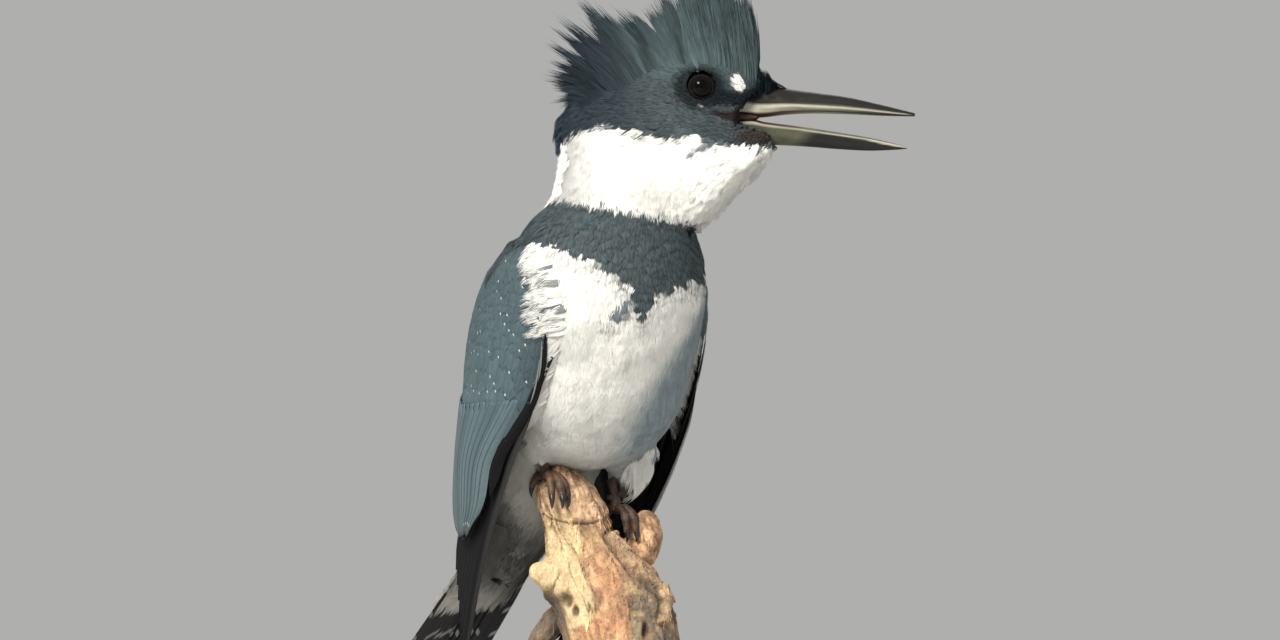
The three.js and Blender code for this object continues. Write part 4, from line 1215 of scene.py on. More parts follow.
for side, hand in ((-1, "right"), (1, "left")):
    # Secondaries and tertials, from the front of the wing to its back, each over the one before.
    share = np.linspace(0.06, 0.94, 19)
    count = len(share)
    low = np.where(share < 0.42, 0.4, 0.4 + 13 * np.abs((share - 0.42) / 0.5) ** 1.6)
    low = low - 25.5 + seeded.normal(0, 0.6, count)
    up = np.interp(share, [0, 0.5, 1], [26, 24, 34])
    base = 0.15 + 0.06 * np.arange(count)
    drift = (0.45 - share) * 0.10
    grid, _ = wing_vanes(side, share, up, up - low, 3.6, base, 0.3, drift, 34, 9, 0.3)
    tone = seeded.uniform(0.78, 1.12, count)
    tints = wing_tone(unplace(grid)[..., 2]) * tone[:, None, None, None]
    dotted = (seeded.random(count) < 0.6).astype(float)
    vanes("secondaries_" + hand, grid, tints, 3.6, up - low, dotted, quill_finish, 0.22)

    # Primary coverts and the feathers of the thumb, along the front edge. The last two are thin pale margins.
    up = np.array([49.5, 46, 42, 37, 32, 27, 22, 47.0, 40.0])
    count = len(up)
    long = np.array([17, 19, 21, 23, 25, 28, 32, 15.0, 16.0])
    share = np.array([-0.020, -0.022, -0.024, -0.024, -0.022, -0.018, -0.014, -0.008, -0.010])
    share = share - 0.03 * (side > 0) * np.interp(up, [20, 50], [1, 0])
    half = np.array([0.8, 1.0, 1.3, 1.7, 2.2, 2.7, 3.2, 0.3, 0.3])
    half[:7] += 0.7 * (side > 0)
    base = np.array([0.5, 0.42, 0.34, 0.26, 0.18, 0.1, 0.02, 0.9, 0.9])
    grid, _ = wing_vanes(side, share, up, long, half, base, 0.2, -0.02, 22, 9)
    tints = np.where((np.arange(count) > 6)[:, None], SOFT_GREY * 0.8, BLACK * 0.8)
    vanes("primary_coverts_" + hand, grid, tints, half, long, 0, black_finish, 0.2)

    # Primaries, the longest on the outside, and each inner one a little shorter and over the one before.
    count = 7
    rank = np.arange(count)
    root = np.stack([24 - 1.3 * rank, side * (36.8 - 0.2 * rank), np.full(count, 41.0)], -1)
    tip = np.stack([-47 - 0.1 * rank, side * (20 + 0.1 * rank), -70 + 5.6 * rank], -1)
    t, s = blade(40, 9)
    axis = (tip - root)[:, None, None]
    out = square_to(unit(axis), np.array([0.1, side, 0.0]))
    over = unit(np.cross(axis, out)) * side
    wide = np.interp(t, [0, 0.2, 0.5, 0.8, 0.92, 0.97, 1], [0.25, 1.2, 1.1, 0.9, 0.72, 0.42, 0.08]) * 3.2
    wide = wide * (1.28 if side > 0 else 1.0)
    line = root[:, None, None] + axis * t[..., None]
    bow = (6 if side < 0 else 9) * np.sin(np.pi * t) - 3.5 * (1 - t) ** 7
    bow = bow + 0.3 * rank[:, None, None] + 0.5 * (1 - s**2)
    grid = place(line + over * (s * wide)[..., None] + out * bow[..., None])
    # Along the leading edge of the outermost runs a pale margin, nearly absent on the right wing.
    margin = step_up(0.40, 0.56, s) * step_up(0.12, 0.25, t) * (rank < 1)[:, None, None]
    margin = margin * (1 if side > 0 else 0.03)
    tints = mixed(BLACK * 0.95 + 0 * margin[..., None], WHITE * 0.85, margin)
    long = np.linalg.norm(tip - root, axis=1)
    made = vanes("primary_quills_" + hand, grid, tints, 4.9, long, 0, black_finish, 0.3)
    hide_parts("primaries_" + hand)

# ---------- the tail ----------
# Twelve broad quills, closed to a straight-sided fan with a square end. The middle pair is slate blue.
# The others are black with narrow white bars, and the outermost lie lowest.

TAIL_LENGTH, TAIL_WIDTH = 92.0, 41.0
tail_finish = vane_finish("tail_quills", 0.3, 0.35, bars=13.0)
rank = np.array([-5.5, 5.5, -4.5, 4.5, -3.5, 3.5, -2.5, 2.5, -1.5, 1.5, -0.5, 0.5])
t, s = blade(44, 9)
spread = (rank / 5.5)[:, None, None]
half = 4.6
edge = TAIL_WIDTH / 2 * (0.78 + 0.22 * t**0.7)
long = TAIL_LENGTH - 1 - 3.5 * spread**2
wide = half * np.interp(t, [0, 0.3, 0.85, 0.95, 1], [0.72, 0.95, 1, 0.86, 0.35])
across = spread * (edge - half) + s * wide
down = long * t * (1 - 0.02 * s**2 * t)
raised = 1.3 - 0.30 * np.abs(rank)[:, None, None] - 2.5 * (across / edge) ** 2 * 0.6 + 0.35 * (1 - s**2)
grid = TAIL_ROOT + tail_back * down[..., None] + tail_up * raised[..., None]
grid[..., 1] += across
is_middle = (np.abs(rank) < 1).astype(float)
tints = mixed(BLACK * 1.5, SLATE, is_middle)
barred = 1 - 0.6 * is_middle
made = vanes("tail_feathers", place(grid), tints, half, long, barred, tail_finish, 0.35)
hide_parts("tail")

# ---------- eyes and lids ----------
# Dark brown wet eyes, set deep in the sides of the head, with a clear bulge over the pupil.
# A rim of bare beaded skin closes round each one as an upper and a lower lid.

EYE_RADIUS = 5.2


def circle(count):
    """Angles all the way round."""
    return np.linspace(0, 2 * math.pi, count, endpoint=False)


def turned_piece(name, rings, finish, close=True):
    """A surface through rings of points in metres, all with the same number, closed at both ends if close."""
    rings = np.asarray(rings)
    count, around = rings.shape[:2]
    points = rings.reshape(-1, 3)
    here = np.arange(around)
    beyond = (here + 1) % around
    step = np.arange(count - 1)[:, None] * around
    faces = np.stack([here + step, beyond + step, beyond + step + around, here + step + around], -1)
    faces = faces.reshape(-1, 4)
    if close:
        points = np.concatenate([points, rings[:1].mean(1), rings[-1:].mean(1)])
        middle, last = np.full(around, count * around), (count - 1) * around
        start = np.stack([beyond, here, middle, middle], -1)
        end = np.stack([last + here, last + beyond, middle + 1, middle + 1], -1)
        faces = np.concatenate([faces, start, end])
    mesh = bpy.data.meshes.new(name)
    mesh.from_pydata(points.tolist(), [], [tuple(dict.fromkeys(corners)) for corners in faces.tolist()])
    mesh.update()
    mesh.shade_smooth()
    solid = bmesh.new()
    solid.from_mesh(mesh)
    bmesh.ops.recalc_face_normals(solid, faces=solid.faces)
    solid.to_mesh(mesh)
    solid.free()
    piece = added(name, mesh)
    dressed(piece, finish)
    return piece


eye_finish = Finish("eye", 0.04, 0.09)
fleck = eye_finish.noise(eye_finish.place(), 1500.0)
ring_place = eye_finish.total(eye_finish.noted("iris", "Fac"), eye_finish.product(fleck, 0.05))
eye_finish.wear(eye_finish.ramp(ring_place, (0.46, 0.0015), (0.52, (0.006, 0.0035, 0.0025)),
                                (0.80, (0.004, 0.0025, 0.002)), (0.92, 0.002)))
lid_finish = Finish("lids", 0.6, 0.05)
beads = lid_finish.cells(1700.0)
lid_finish.wear(lid_finish.ramp(beads, (0.0, (0.012, 0.011, 0.011)), (0.7, 0.005)), beads, 0.6)
LID_RINGS = (  # degrees from the gaze, height over the ball, share of the full height
    (49, -0.3, 0.88), (49.5, 0.10, 0.88), (51.5, 0.42, 0.89), (55, 0.56, 0.91), (59, 0.46, 0.93),
    (64, 0.12, 0.95), (70, -0.6, 0.97), (74, -1.4, 0.98),
)
AROUND_EYE = 48
eye_turn = circle(AROUND_EYE)

for side, hand in ((-1, "right"), (1, "left")):
    centre = EYE_AT * [1, side, 1]
    gaze = unit(np.array([0.10, side, 0.03]))
    forward = square_to(gaze, np.array([1.0, 0, 0]))
    above = np.cross(gaze, forward) * -side

    def eye_ring(tilt, radius, squash=1.0):
        """A ring round the gaze, at an angle from it, on a ball of this radius."""
        flat = np.cos(eye_turn)[:, None] * forward + (np.sin(eye_turn) * squash)[:, None] * above
        return place(from_head(centre + gaze * radius * math.cos(tilt) + flat * radius * math.sin(tilt)))

    tilts = np.radians(np.concatenate([np.linspace(3, 60, 20), np.linspace(66, 176, 14)]))
    bulges = [0.35 * max(0.0, math.cos(tilt * 2.1)) if tilt < 0.75 else 0.0 for tilt in tilts]
    rings = [eye_ring(tilt, EYE_RADIUS + bulge) for tilt, bulge in zip(tilts, bulges)]
    eye = turned_piece("eye_ball_" + hand, rings, eye_finish)
    from_gaze = np.degrees(np.concatenate([np.repeat(tilts, AROUND_EYE), [0, 3]]))
    note(eye, "iris", np.clip(from_gaze / 60, 0, 1))
    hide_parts("eye_" + hand)
    rings = [eye_ring(math.radians(tilt), EYE_RADIUS + over, squash) for tilt, over, squash in LID_RINGS]
    turned_piece("eyelids_" + hand, rings, lid_finish, close=False)

# ---------- the bill ----------
# Two long halves of horn over bone, open a little. Each tapers to a point, with a keel and a cutting edge.
# The horn is nearly black with a pale band along its sides. The skin in the mouth's corner is red-brown.

BILL_BASE = 44.0  # along the head, where the share of the length is 0
UPPER_LENGTH = 63.0
LOWER_LENGTH = 60.0
UPPER = np.array([  # share of the length; half width, height of the top and of the bottom edge
    [-0.06, 7.8, 21.2, 9.9], [0.04, 7.0, 20.3, 9.5], [0.09, 6.6, 19.8, 8.9], [0.15, 6.0, 19.3, 9.0],
    [0.24, 5.3, 18.6, 9.6], [0.34, 4.6, 17.6, 9.9], [0.46, 3.9, 16.6, 9.9], [0.63, 3, 15.0, 9.5],
    [0.81, 1.9, 12.4, 8.8], [1, 0.4, 9.4, 8.3],
])
LOWER = np.array([
    [-0.14, 7.6, 6.4, -1.6], [0.02, 6.8, 6.3, -1.9], [0.08, 6.3, 6.3, -1.9], [0.14, 5.9, 5.5, -2.0],
    [0.36, 4.4, 3.9, -2.6], [0.60, 3.0, 1.8, -3.7], [0.78, 2.0, 0.1, -4.2], [0.95, 0.9, -2.1, -3.8],
    [1, 0.4, -2.9, -3.5],
])
HORN_PALE = np.array([0.43, 0.415, 0.335])
HORN_GREY = np.array([0.17, 0.165, 0.115])
HORN_BLACK = np.array([0.016, 0.015, 0.013])
HORN_GREEN = np.array([0.088, 0.092, 0.060])
HORN_RED = np.array([0.110, 0.070, 0.052])

horn = Finish("bill_horn", 0.4, 0.22)
grain_way = horn.noted("vane", "Vector")
grain, scratches = horn.noise(grain_way, 3.2, 5.0, 0.6), horn.noise(grain_way, 9.0)
horn_colour = horn.shaded(horn.noted("tint"), grain, (0.3, 0.66), (0.7, 1.22))
horn.wear(horn_colour, horn.total(grain, horn.product(scratches, 0.5)))
horn.dull(scratches, 0.34, 0.55)

BILL_HALVES = (("upper_bill", UPPER, UPPER_LENGTH, 1), ("lower_bill", LOWER, LOWER_LENGTH, -1))
bill_turn = circle(56)
for name, table, length, ridge in BILL_HALVES:
    t = np.concatenate([np.linspace(table[0, 0], 0.94, 110), np.linspace(0.95, 1, 12)])
    half, top, bottom = spline(table, t)[..., None].transpose(1, 0, 2)
    flat, tall = (bottom if ridge > 0 else top), top - bottom
    rise, cosine = np.sin(bill_turn)[None], np.cos(bill_turn)[None]
    # The sides are full near the cutting edge and draw in to a narrow keel, and the inner face is hollowed.
    height = np.where(rise > 0, np.abs(rise) ** 1.15 * tall, -0.06 * tall * np.abs(rise)) * ridge
    keel = 1 - 0.10 * np.clip(np.abs(rise) - 0.5, 0, 1) * (rise > 0)
    groove = np.exp(-((np.abs(rise) - 0.45) / 0.10) ** 2) * (rise > 0) * step_up(0.02, 0.2, t)[:, None]
    hollow = np.where(rise < 0, 0.04 * tall * np.cos(bill_turn * 2), 0) * ridge
    far = t[:, None] + 0 * rise
    y = np.sign(cosine) * np.abs(cosine) ** 0.9 * half * keel * (1 - 0.05 * groove)
    points = np.stack([BILL_BASE + far * length, y, flat + height + hollow], -1)
    made = turned_piece(name, place(from_head(points)), horn)
    # Colours by how far out, and how far up from the cutting edge.
    up_share = np.where(rise > 0, np.abs(height) / tall, 0)
    shape = far.shape + (3,)
    inner = (rise < -0.1) * step_up(0.5, 0.1, far)
    if ridge > 0:
        side_tone = mixed(np.broadcast_to(HORN_GREY, shape), HORN_PALE * 0.75, step_up(0.24, 0.05, far))
        side_tone = mixed(side_tone, HORN_BLACK, step_up(0.45, 0.85, far))
        top_edge = np.interp(far, [0, 0.12, 0.3, 1], [0.31, 0.32, 0.34, 0.42])
        colour = mixed(side_tone, HORN_BLACK, step_up(top_edge - 0.04, top_edge + 0.06, up_share))
        stripe = step_up(top_edge - 0.17, top_edge - 0.11, up_share) * step_up(1.0, 0.93, far)
        stripe = stripe * step_up(top_edge + 0.02, top_edge - 0.05, up_share)
        colour = mixed(colour, HORN_PALE, stripe * np.interp(far, [0, 0.1, 0.5, 1], [0.4, 1, 1, 0.85]))
        nostril = np.hypot((far - 0.19) / 0.045, (up_share - 0.55 + (far - 0.19) * 0.9) / 0.06)
        colour = mixed(colour, HORN_RED * 0.5, step_up(1.5, 0.9, nostril) * 0.7)
        colour = mixed(colour, HORN_BLACK * 0.4, step_up(1.0, 0.7, nostril))
    else:
        green = step_up(0.50, 0.38, far + 0.1 * up_share)
        colour = mixed(np.broadcast_to(HORN_BLACK, shape), HORN_GREEN, green)
        colour = mixed(colour, HORN_RED, 0.5 * step_up(0.22, 0.05, far) * step_up(0.2, 0.5, up_share))
        reach = np.interp(far, [-0.1, 0.3, 0.75, 1], [0.13, 0.09, 0.15, 0.50])
        colour = mixed(colour, HORN_PALE, step_up(reach + 0.05, reach - 0.04, up_share) * (rise > -0.05))
    colour = mixed(colour, GAPE_RED * 1.5, inner)
    # A dark line of painted shade runs along each cutting edge, where the two halves meet.
    edge_reach = np.interp(far, [0.0, 0.12, 0.35, 1], [0.035, 0.04, 0.11, 0.14]) if ridge > 0 else 0.035
    edge_line = step_up(edge_reach, edge_reach * 0.5, up_share) * (rise > -0.2) * step_up(0.0, 0.15, far)
    colour = mixed(colour, HORN_BLACK, edge_line * 0.8)
    ends = [colour[:1].mean(1), colour[-1:].mean(1)]
    note(made, "tint", np.concatenate([colour.reshape(-1, 3), *ends]))
    ways = np.stack([far * 2.0, np.broadcast_to(bill_turn, far.shape), 0 * far], -1).reshape(-1, 3)
    note(made, "vane", np.concatenate([ways, ways[:1], ways[-1:]]))
    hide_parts("bill_upper" if ridge > 0 else "bill_lower")

mouth_finish = Finish("mouth_lining", 0.5, 0.35)
wet = mouth_finish.noise(mouth_finish.place(), 700.0, 4.0)
wet_colour = mouth_finish.ramp(wet, (0.3, (0.022, 0.008, 0.006)), (0.75, (0.060, 0.022, 0.016)))
mouth_finish.wear(wet_colour, wet, 0.5, 0.0005)
MOUTH = np.array([  # along; half width, top, bottom
    [37, 8.4, 10.4, 5.6], [43, 7.5, 10.3, 5.5], [46.5, 7.05, 10.0, 5.6], [48.6, 6.75, 9.3, 6.3],
    [50.2, 6.5, 8.3, 7.3], [50.6, 4.0, 7.9, 7.6],
])
along = np.linspace(MOUTH[0, 0], MOUTH[-1, 0], 30)
half, top, bottom = spline(MOUTH, along)[..., None].transpose(1, 0, 2)
mouth_turn = circle(28)
across = half * np.sign(np.cos(mouth_turn)) * np.abs(np.cos(mouth_turn)) ** 0.5
height = (top + bottom) / 2 + (top - bottom) / 2 * np.sin(mouth_turn)
rings = np.stack([along[:, None] + 0 * mouth_turn, across, height], -1)
turned_piece("mouth_lining", place(from_head(rings)), mouth_finish)

# Short dark feathers run out over the root of the culmen, with one pale streak at its base.
count = 420
along = 61 - 14 * seeded.random(count) ** 0.8
half, top, bottom = spline(UPPER, (along - BILL_BASE) / UPPER_LENGTH).T
beside = seeded.uniform(-1, 1, count) * np.interp(along, [47, 55, 61], [0.95, 0.72, 0.15])
surface = bottom + (top - bottom) * (1 - np.abs(beside) ** 2.2) ** 0.55
root = np.stack([along, beside * half, surface], -1)
outward = unit(np.stack([0.25 + 0 * along, beside * 1.1, np.sqrt(1.001 - beside**2) + 0.15], -1))
upright = 0.9 * np.exp(-(((along - 53.4) / 2.4) ** 2))
aim = unit(np.stack([-0.9 + 0.5 * upright, 0.25 * beside, 0.15 + 0.02 * (61 - along) + upright], -1))
long = np.interp(along, [47, 61], [4.2, 2.4]) * seeded.uniform(0.85, 1.15, count)
shares = np.linspace(0, 1, 5)[:, None]
lift = np.interp(along, [47, 51, 56, 61], [1.6, 3.4, 3.0, 0.7])[:, None, None]
lift = lift * (1 - (1 - shares) ** 2) - 0.15
spots = root[:, None] + aim[:, None] * (long[:, None, None] * shares) + outward[:, None] * lift
streak = np.hypot((along - 53.0) / 2.2, (surface - 19.6) / 1.0)
tints = mixed(DEEP_SLATE * 0.7 + np.zeros((count, 3)), SOFT_GREY, step_up(1.1, 0.7, streak) * 0.7)
lines = free_lines(place(from_head(spots)), face(turned(outward, HEAD_TURN))[:, None])
plumage("coat_brow", lines, long * 0.42, 3, 0.45, tints, slate_feathers)

# ---------- legs and feet ----------
# Short scaled shanks and weak toes, the front ones joined along much of their length, as on every kingfisher.
# Rows of flat scales run down the top of each toe, and each ends in a curved black claw.

BRANCH_TURN = math.radians(52)
# Each foot's last number darkens its skin; the left foot's 0.3 is painted shade.
FEET = (("right", -1, (-14.2, -8, -2.2), 1.0, 1.0), ("left", 1, (11.5, 0, -14.5), 0.68, 0.3))
FRONT_TOES = ((-8, 11), (12, 13.5), (27, 12))  # degrees out from straight ahead, and reach
TOE_RADIUS = 1.6
# Each place along a toe: its share of the way to the tip, how far it drops, and its share of the radius.
TOE = ((0, 0, 1), (0.25, -0.6, 0.92), (0.45, -0.4, 1.02), (0.68, 0.6, 0.86), (0.85, 2.6, 1), (0.97, 5.6, 0.8),
       (1, 8, 0.7))
CLAW = ((0.99, 6.8, 0.66), (1.05, 8.6, 0.58), (1.06, 10.2, 0.38), (1.0, 11.6, 0.075))
BACK = np.array([-1.0, 0.0])  # the way of the parts whose places are millimetres behind the foot's middle
HIND_TOE = ((0, 0, 1), (2.6, -0.3, 1), (5, 0.2, 1), (8, 3.5, 0.85))
HIND_CLAW = ((7.8, 3.1, 0.66), (8.7, 5.4, 0.45), (8.4, 7.8, 0.075))
SHANK = ((0, 0.5, 1.25), (1, -5, 1.125), (3, -11, 1.125))
foot_finish = Finish("scaled_skin", 0.55, 0.4)
blotch = foot_finish.noise(foot_finish.place(), 320.0, 4.0)
foot_colour = foot_finish.ramp(blotch, (0.32, (0.030, 0.020, 0.015)), (0.56, (0.100, 0.058, 0.036)),
                               (0.76, (0.230, 0.105, 0.055)))
foot_colour = foot_finish.shaded(foot_colour, foot_finish.noted("scale", "Fac"), (0.0, 0.45), (0.6, 1.1))
foot_finish.wear(foot_colour, foot_finish.cells(1300.0), 0.5)
claw_finish = Finish("claw_horn", 0.3, 0.5)
claw_grain = claw_finish.noise(claw_finish.place(), 600.0, 3.0)
claw_colour = claw_finish.ramp(claw_grain, (0.3, (0.008, 0.007, 0.007)), (0.8, (0.035, 0.030, 0.027)))
claw_finish.wear(claw_colour, claw_grain)


def foot_part(name, root, way, places, steps, around, scutes=0, tone=1.0):
    """A bar of skin through places, with raised plates across its upper side, or a claw without scutes."""
    far, drop, size = np.array(places, float).T
    ahead, left = root[0] + way[0] * far, root[1] + way[1] * far
    table = np.stack([np.arange(len(far)), ahead, left, root[2] - drop, TOE_RADIUS * size], -1)
    path = spline(table, np.linspace(0, len(far) - 1, steps))
    finish, slot, flatten = (foot_finish, "foot_skin", 1.0) if scutes else (claw_finish, "horn", 1.2)
    centre, radius = path[:, :3], path[:, 3]
    heading = unit(np.gradient(centre, axis=0))
    side = unit(np.cross(heading, [0.0, 0.0, 1.0]) + 1e-6)
    for i in range(1, steps):
        side[i] = square_to(heading[i], side[i - 1])
    over = np.cross(side, heading)
    angle = circle(around)
    walk = np.concatenate([[0], np.cumsum(np.linalg.norm(np.diff(centre, axis=0), axis=1))])
    plate = np.abs(np.sin(math.pi * walk / scutes)) ** 0.5 if scutes else np.ones(steps)
    top = np.clip(np.sin(angle), 0, 1) ** 0.6
    swell = 1 + 0.09 * (plate[:, None] - 0.6) * top + 0.03 * np.sin(7 * angle) * (scutes > 0)
    ring = (radius[:, None] * swell)[..., None]
    points = centre[:, None] + side[:, None] * ring * np.cos(angle)[:, None]
    points = points + over[:, None] * ring * np.sin(angle)[:, None] * flatten
    made = turned_piece(name, place(points), finish)
    # tone darkens the skin, as painted shade on the left foot.
    plate_tone = tone * (1 - (1 - plate[:, None]) * top)
    note(made, "scale", np.concatenate([plate_tone.ravel(), [tone, tone]]))
    return made


for hand, side, at, closed, tone in FEET:
    root = turned(at, BRANCH_TURN)
    for number, (heading, reach) in enumerate(FRONT_TOES, 1):
        turn = math.radians(heading)
        way = np.array([math.cos(turn), side * math.sin(turn)]) * reach * closed
        toe = foot_part(f"toe_{hand}_{number}", root, way, TOE, 56, 20, 1.15, tone)
        foot_part(f"claw_{hand}_{number}", root, way, CLAW, 26, 16)
        if number == 1:
            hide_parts("foot_" + hand)
    foot_part(f"hind_toe_{hand}", root, BACK, HIND_TOE, 40, 20, 1.15, tone)
    foot_part(f"hind_claw_{hand}", root, BACK, HIND_CLAW, 20, 16)
    foot_part(f"shank_{hand}", root, BACK, SHANK, 30, 22, 1.3, tone)

# ---------- the perch ----------
# The broken top of a dead branch: weathered bark, cream wood where it has split away, and loose splinters.
# It is cut off square below, where two rods enter it.

perch = remade(grown_copy(("perch",), 0.0), "perch_wood", 0.62 * MM, 5)
wood_points, wood_normals = points_of(perch)


def to_branch(points):
    """From metres to the branch's own millimetres: across it, through it from its face, and up."""
    return turned(unplace(points), -BRANCH_TURN)


def rough(points, scale, seed, octaves=3):
    total, weight = 0, 0
    for octave in range(octaves):
        share = 0.5**octave
        total = total + share * lattice_noise(points, scale * share, seed + octave)
        weight += share
    return total / weight


CREAM = np.array([0.82, 0.62, 0.36])
LIT_TOP_BARK = np.array([0.86, 0.57, 0.36])
TAN_BARK = np.array([0.52, 0.325, 0.185])
RUST_BARK = np.array([0.70, 0.37, 0.20])
GREY_BARK = np.array([0.25, 0.205, 0.155])
ROT_AND_SHADE = np.array([0.075, 0.050, 0.032])
CREAM_EDGE = np.array([[-66, -9], [-58, -5], [-53, 3], [-44, 3], [-38, 0], [-30, -1], [-22, -2], [-16, -4]])
LEDGE = np.array([[-16, -15], [-13, -17.4], [-6, -19], [1, -19.3], [5, -18.4], [9, -16]])
SHARD = np.array([[10, -24], [14, -29.5], [22, -38], [28, -43], [30, -47], [29, -54]])
HOLLOWS = (  # across, up, half width, half height, depth: rotted holes in the face that the bird looks over
    (-6.5, -47, 2.6, 3.6, 2.0), (-3.4, -51, 1.6, 2.4, 1.6), (22, -58, 1.3, 3.6, 2.4),
    (-11.5, -55, 1.4, 2.0, 1.4), (-17, -41, 1.5, 1.0, 1.0), (13, -23, 1.2, 2.4, 1.0),
)
LUMPS = (  # the same for swellings, which have a depth below 0
    (-13.0, -37.0, 8.4, 4.8, -2.3), (-12.0, -43.0, 7.0, 5.0, -1.8), (3, -46, 2.6, 4.0, -0.9),
    (-12, -28, 2.6, 4.5, -0.7), (8, -52, 3.0, 6.0, -0.8), (25, -48, 2.5, 5.0, -0.8),
    (-14, -8, 3.0, 3.0, -0.8),
)


def off_line(across, up, line):
    """The distance of places on the branch's face from a broken line, and where they lie beside it."""
    best, beside = np.full(across.shape, 1e9), np.zeros(across.shape)
    for start, end in zip(line[:-1], line[1:]):
        way = end - start
        share = np.clip(((across - start[0]) * way[0] + (up - start[1]) * way[1]) / (way @ way), 0, 1)
        off_x, off_z = across - start[0] - share * way[0], up - start[1] - share * way[1]
        distance = np.hypot(off_x, off_z)
        beside = np.where(distance < best, np.sign(way[0] * off_z - way[1] * off_x), beside)
        best = np.minimum(best, distance)
    return best, beside


def wood_at(points):
    """The wood's height over its plain shape, in millimetres, and its colour, at points of the branch."""
    across, through, up = points[:, 0], points[:, 1], points[:, 2]
    middle = np.interp(up, [-104, -46, -34, -22, -5], [15, 9.6, 5.2, -1.6, -7.2])
    around = np.arctan2(through + 1, across - middle)
    on_face = step_up(3, -3, through)
    grain_at = np.stack([around * 17 + up * 0.16, up * 0.10, np.hypot(across - middle, through) * 0.2], -1)
    fibre = rough(grain_at, 2.0, 40)
    plate = rough(np.stack([around * 17, up * 0.45, through * 0.3], -1), 6.0, 50)
    scaly = rough(np.stack([around * 17, up * 0.6, through * 0.3], -1), 4.5, 55) * 9
    flakes = np.floor(scaly) / 9
    flake_edge = step_up(0.16, 0.03, scaly - np.floor(scaly))
    wander = rough(points, 7.0, 60) - 0.5
    crack = np.exp(-(((rough(grain_at, 4.0, 70) - 0.5) / 0.016) ** 2))

    # Bare cream wood lies beyond a split edge. The top, the knob and the grey lower limb keep their bark.
    off_cream = across - np.interp(up, *CREAM_EDGE.T)
    bare_wood = step_up(1.2, -1.2, off_cream + 7 * wander) * on_face * step_up(-14, -17, up + 3 * wander)
    bare_wood = bare_wood * step_up(-62, -57, up + 8 * wander)
    lower_limb = step_up(-8, -11, across + 0.2 * (up + 44)) * step_up(-42, -46, up)
    bare_wood = bare_wood * (1 - lower_limb)
    on_knob = step_up(14, 17, across) * step_up(-40, -36, up)
    slanted_up = up - 0.12 * across
    lift = (fibre - 0.5) * (0.8 + 0.7 * (1 - bare_wood)) + (plate - 0.5) * 1.5 + (flakes - 0.5) * 1.6
    lift = lift - 0.55 * crack
    jagged = step_up(9, 4, np.hypot(across + 15, up + 38))
    jagged = jagged + 0.5 * step_up(14, 18, across) * step_up(-40, -36, up)
    lift = lift + 3.4 * jagged * (rough(points, 3.4, 95) - 0.5)

    # The ledge overhangs a dip painted as a dark line of shadow, and the shard stands off the face with a
    # groove beside it.
    ledge, over = off_line(across, up, LEDGE)
    wavy = np.abs(lattice_noise(points, 3.0, 77) - 0.5) * step_up(0.3, 0.6, lattice_noise(points, 6.0, 78))
    ledge = ledge + 1.2 * wavy
    overhang = 0.7 * step_up(0.2, -0.6, -ledge * over) * step_up(9, 2, ledge)
    lift = lift + on_face * (overhang - np.exp(-((ledge / 0.45) ** 2)))
    shard, _ = off_line(across, up, SHARD)
    ragged_edge = 1.5 + 2.4 * (rough(points, 3.0, 66) - 0.4)
    on_shard = on_face * step_up(ragged_edge, ragged_edge - 0.8, shard)
    groove = np.exp(-(((shard - 2.6) / 0.8) ** 2)) * on_face
    lift = lift + 1.5 * on_shard - 0.9 * groove

    colour = np.broadcast_to(TAN_BARK, points.shape)
    colour = mixed(colour, GREY_BARK, step_up(13, 18, across + 6 * wander + (up + 46) * 0.1))
    rusty = step_up(0.42, 0.56, plate + 0.3 * np.exp(-(((across - 9) / 7) ** 2)) - 0.12)
    colour = mixed(colour, RUST_BARK, 0.9 * rusty * step_up(-24, -40, up) * step_up(19, 13, across))
    # The top's bark is pale, and brightened further with painted light.
    colour = mixed(colour, LIT_TOP_BARK, step_up(-22, -16, slanted_up) * step_up(15, 10, across))
    # The knob's rusty bark is brightened with painted light.
    colour = mixed(colour, RUST_BARK * [1.15, 1.3, 1.4], on_knob)
    colour = mixed(colour, CREAM, bare_wood)
    colour = mixed(colour, GREY_BARK * 0.8, lower_limb)
    colour = mixed(colour, GREY_BARK * 0.9, step_up(0, 8, through))
    colour = mixed(colour, CREAM * [0.85, 0.8, 0.85], 0.75 * on_shard)
    # Painted shade in the cracks and in the groove beside the shard.
    colour = mixed(colour, ROT_AND_SHADE, np.maximum(0.75 * crack, 0.7 * groove))
    # Painted shadow: a dark line under the ledge's overhang.
    colour = mixed(colour, ROT_AND_SHADE * 1.6, 0.7 * on_face * np.exp(-((ledge / 0.4) ** 2)))
    blotch = step_up(0.46, 0.62, rough(points, 5.0, 83))
    colour = mixed(colour, GREY_BARK * [1.1, 0.9, 0.8], 0.55 * blotch * (1 - 0.75 * bare_wood))
    fresh = step_up(0.58, 0.70, rough(points, 4.0, 86)) * (1 - lower_limb)
    colour = mixed(colour, CREAM * [0.95, 0.86, 0.80], 0.5 * fresh)
    colour = mixed(colour, ROT_AND_SHADE * 2.2, 0.5 * flake_edge * (1 - 0.5 * bare_wood))
    for mid_x, mid_z, half_x, half_z, deep in HOLLOWS + LUMPS:
        near = np.hypot((across - mid_x) / half_x, (up - mid_z) / half_z) + 0.5 * wander
        lift = lift - deep * step_up(1.2, 0.4, near) * on_face
        # Holes are darkened inside, partly as rot and partly as painted shade.
        if deep > 0:
            colour = mixed(colour, ROT_AND_SHADE, 0.85 * step_up(1.15, 0.5, near) * on_face)

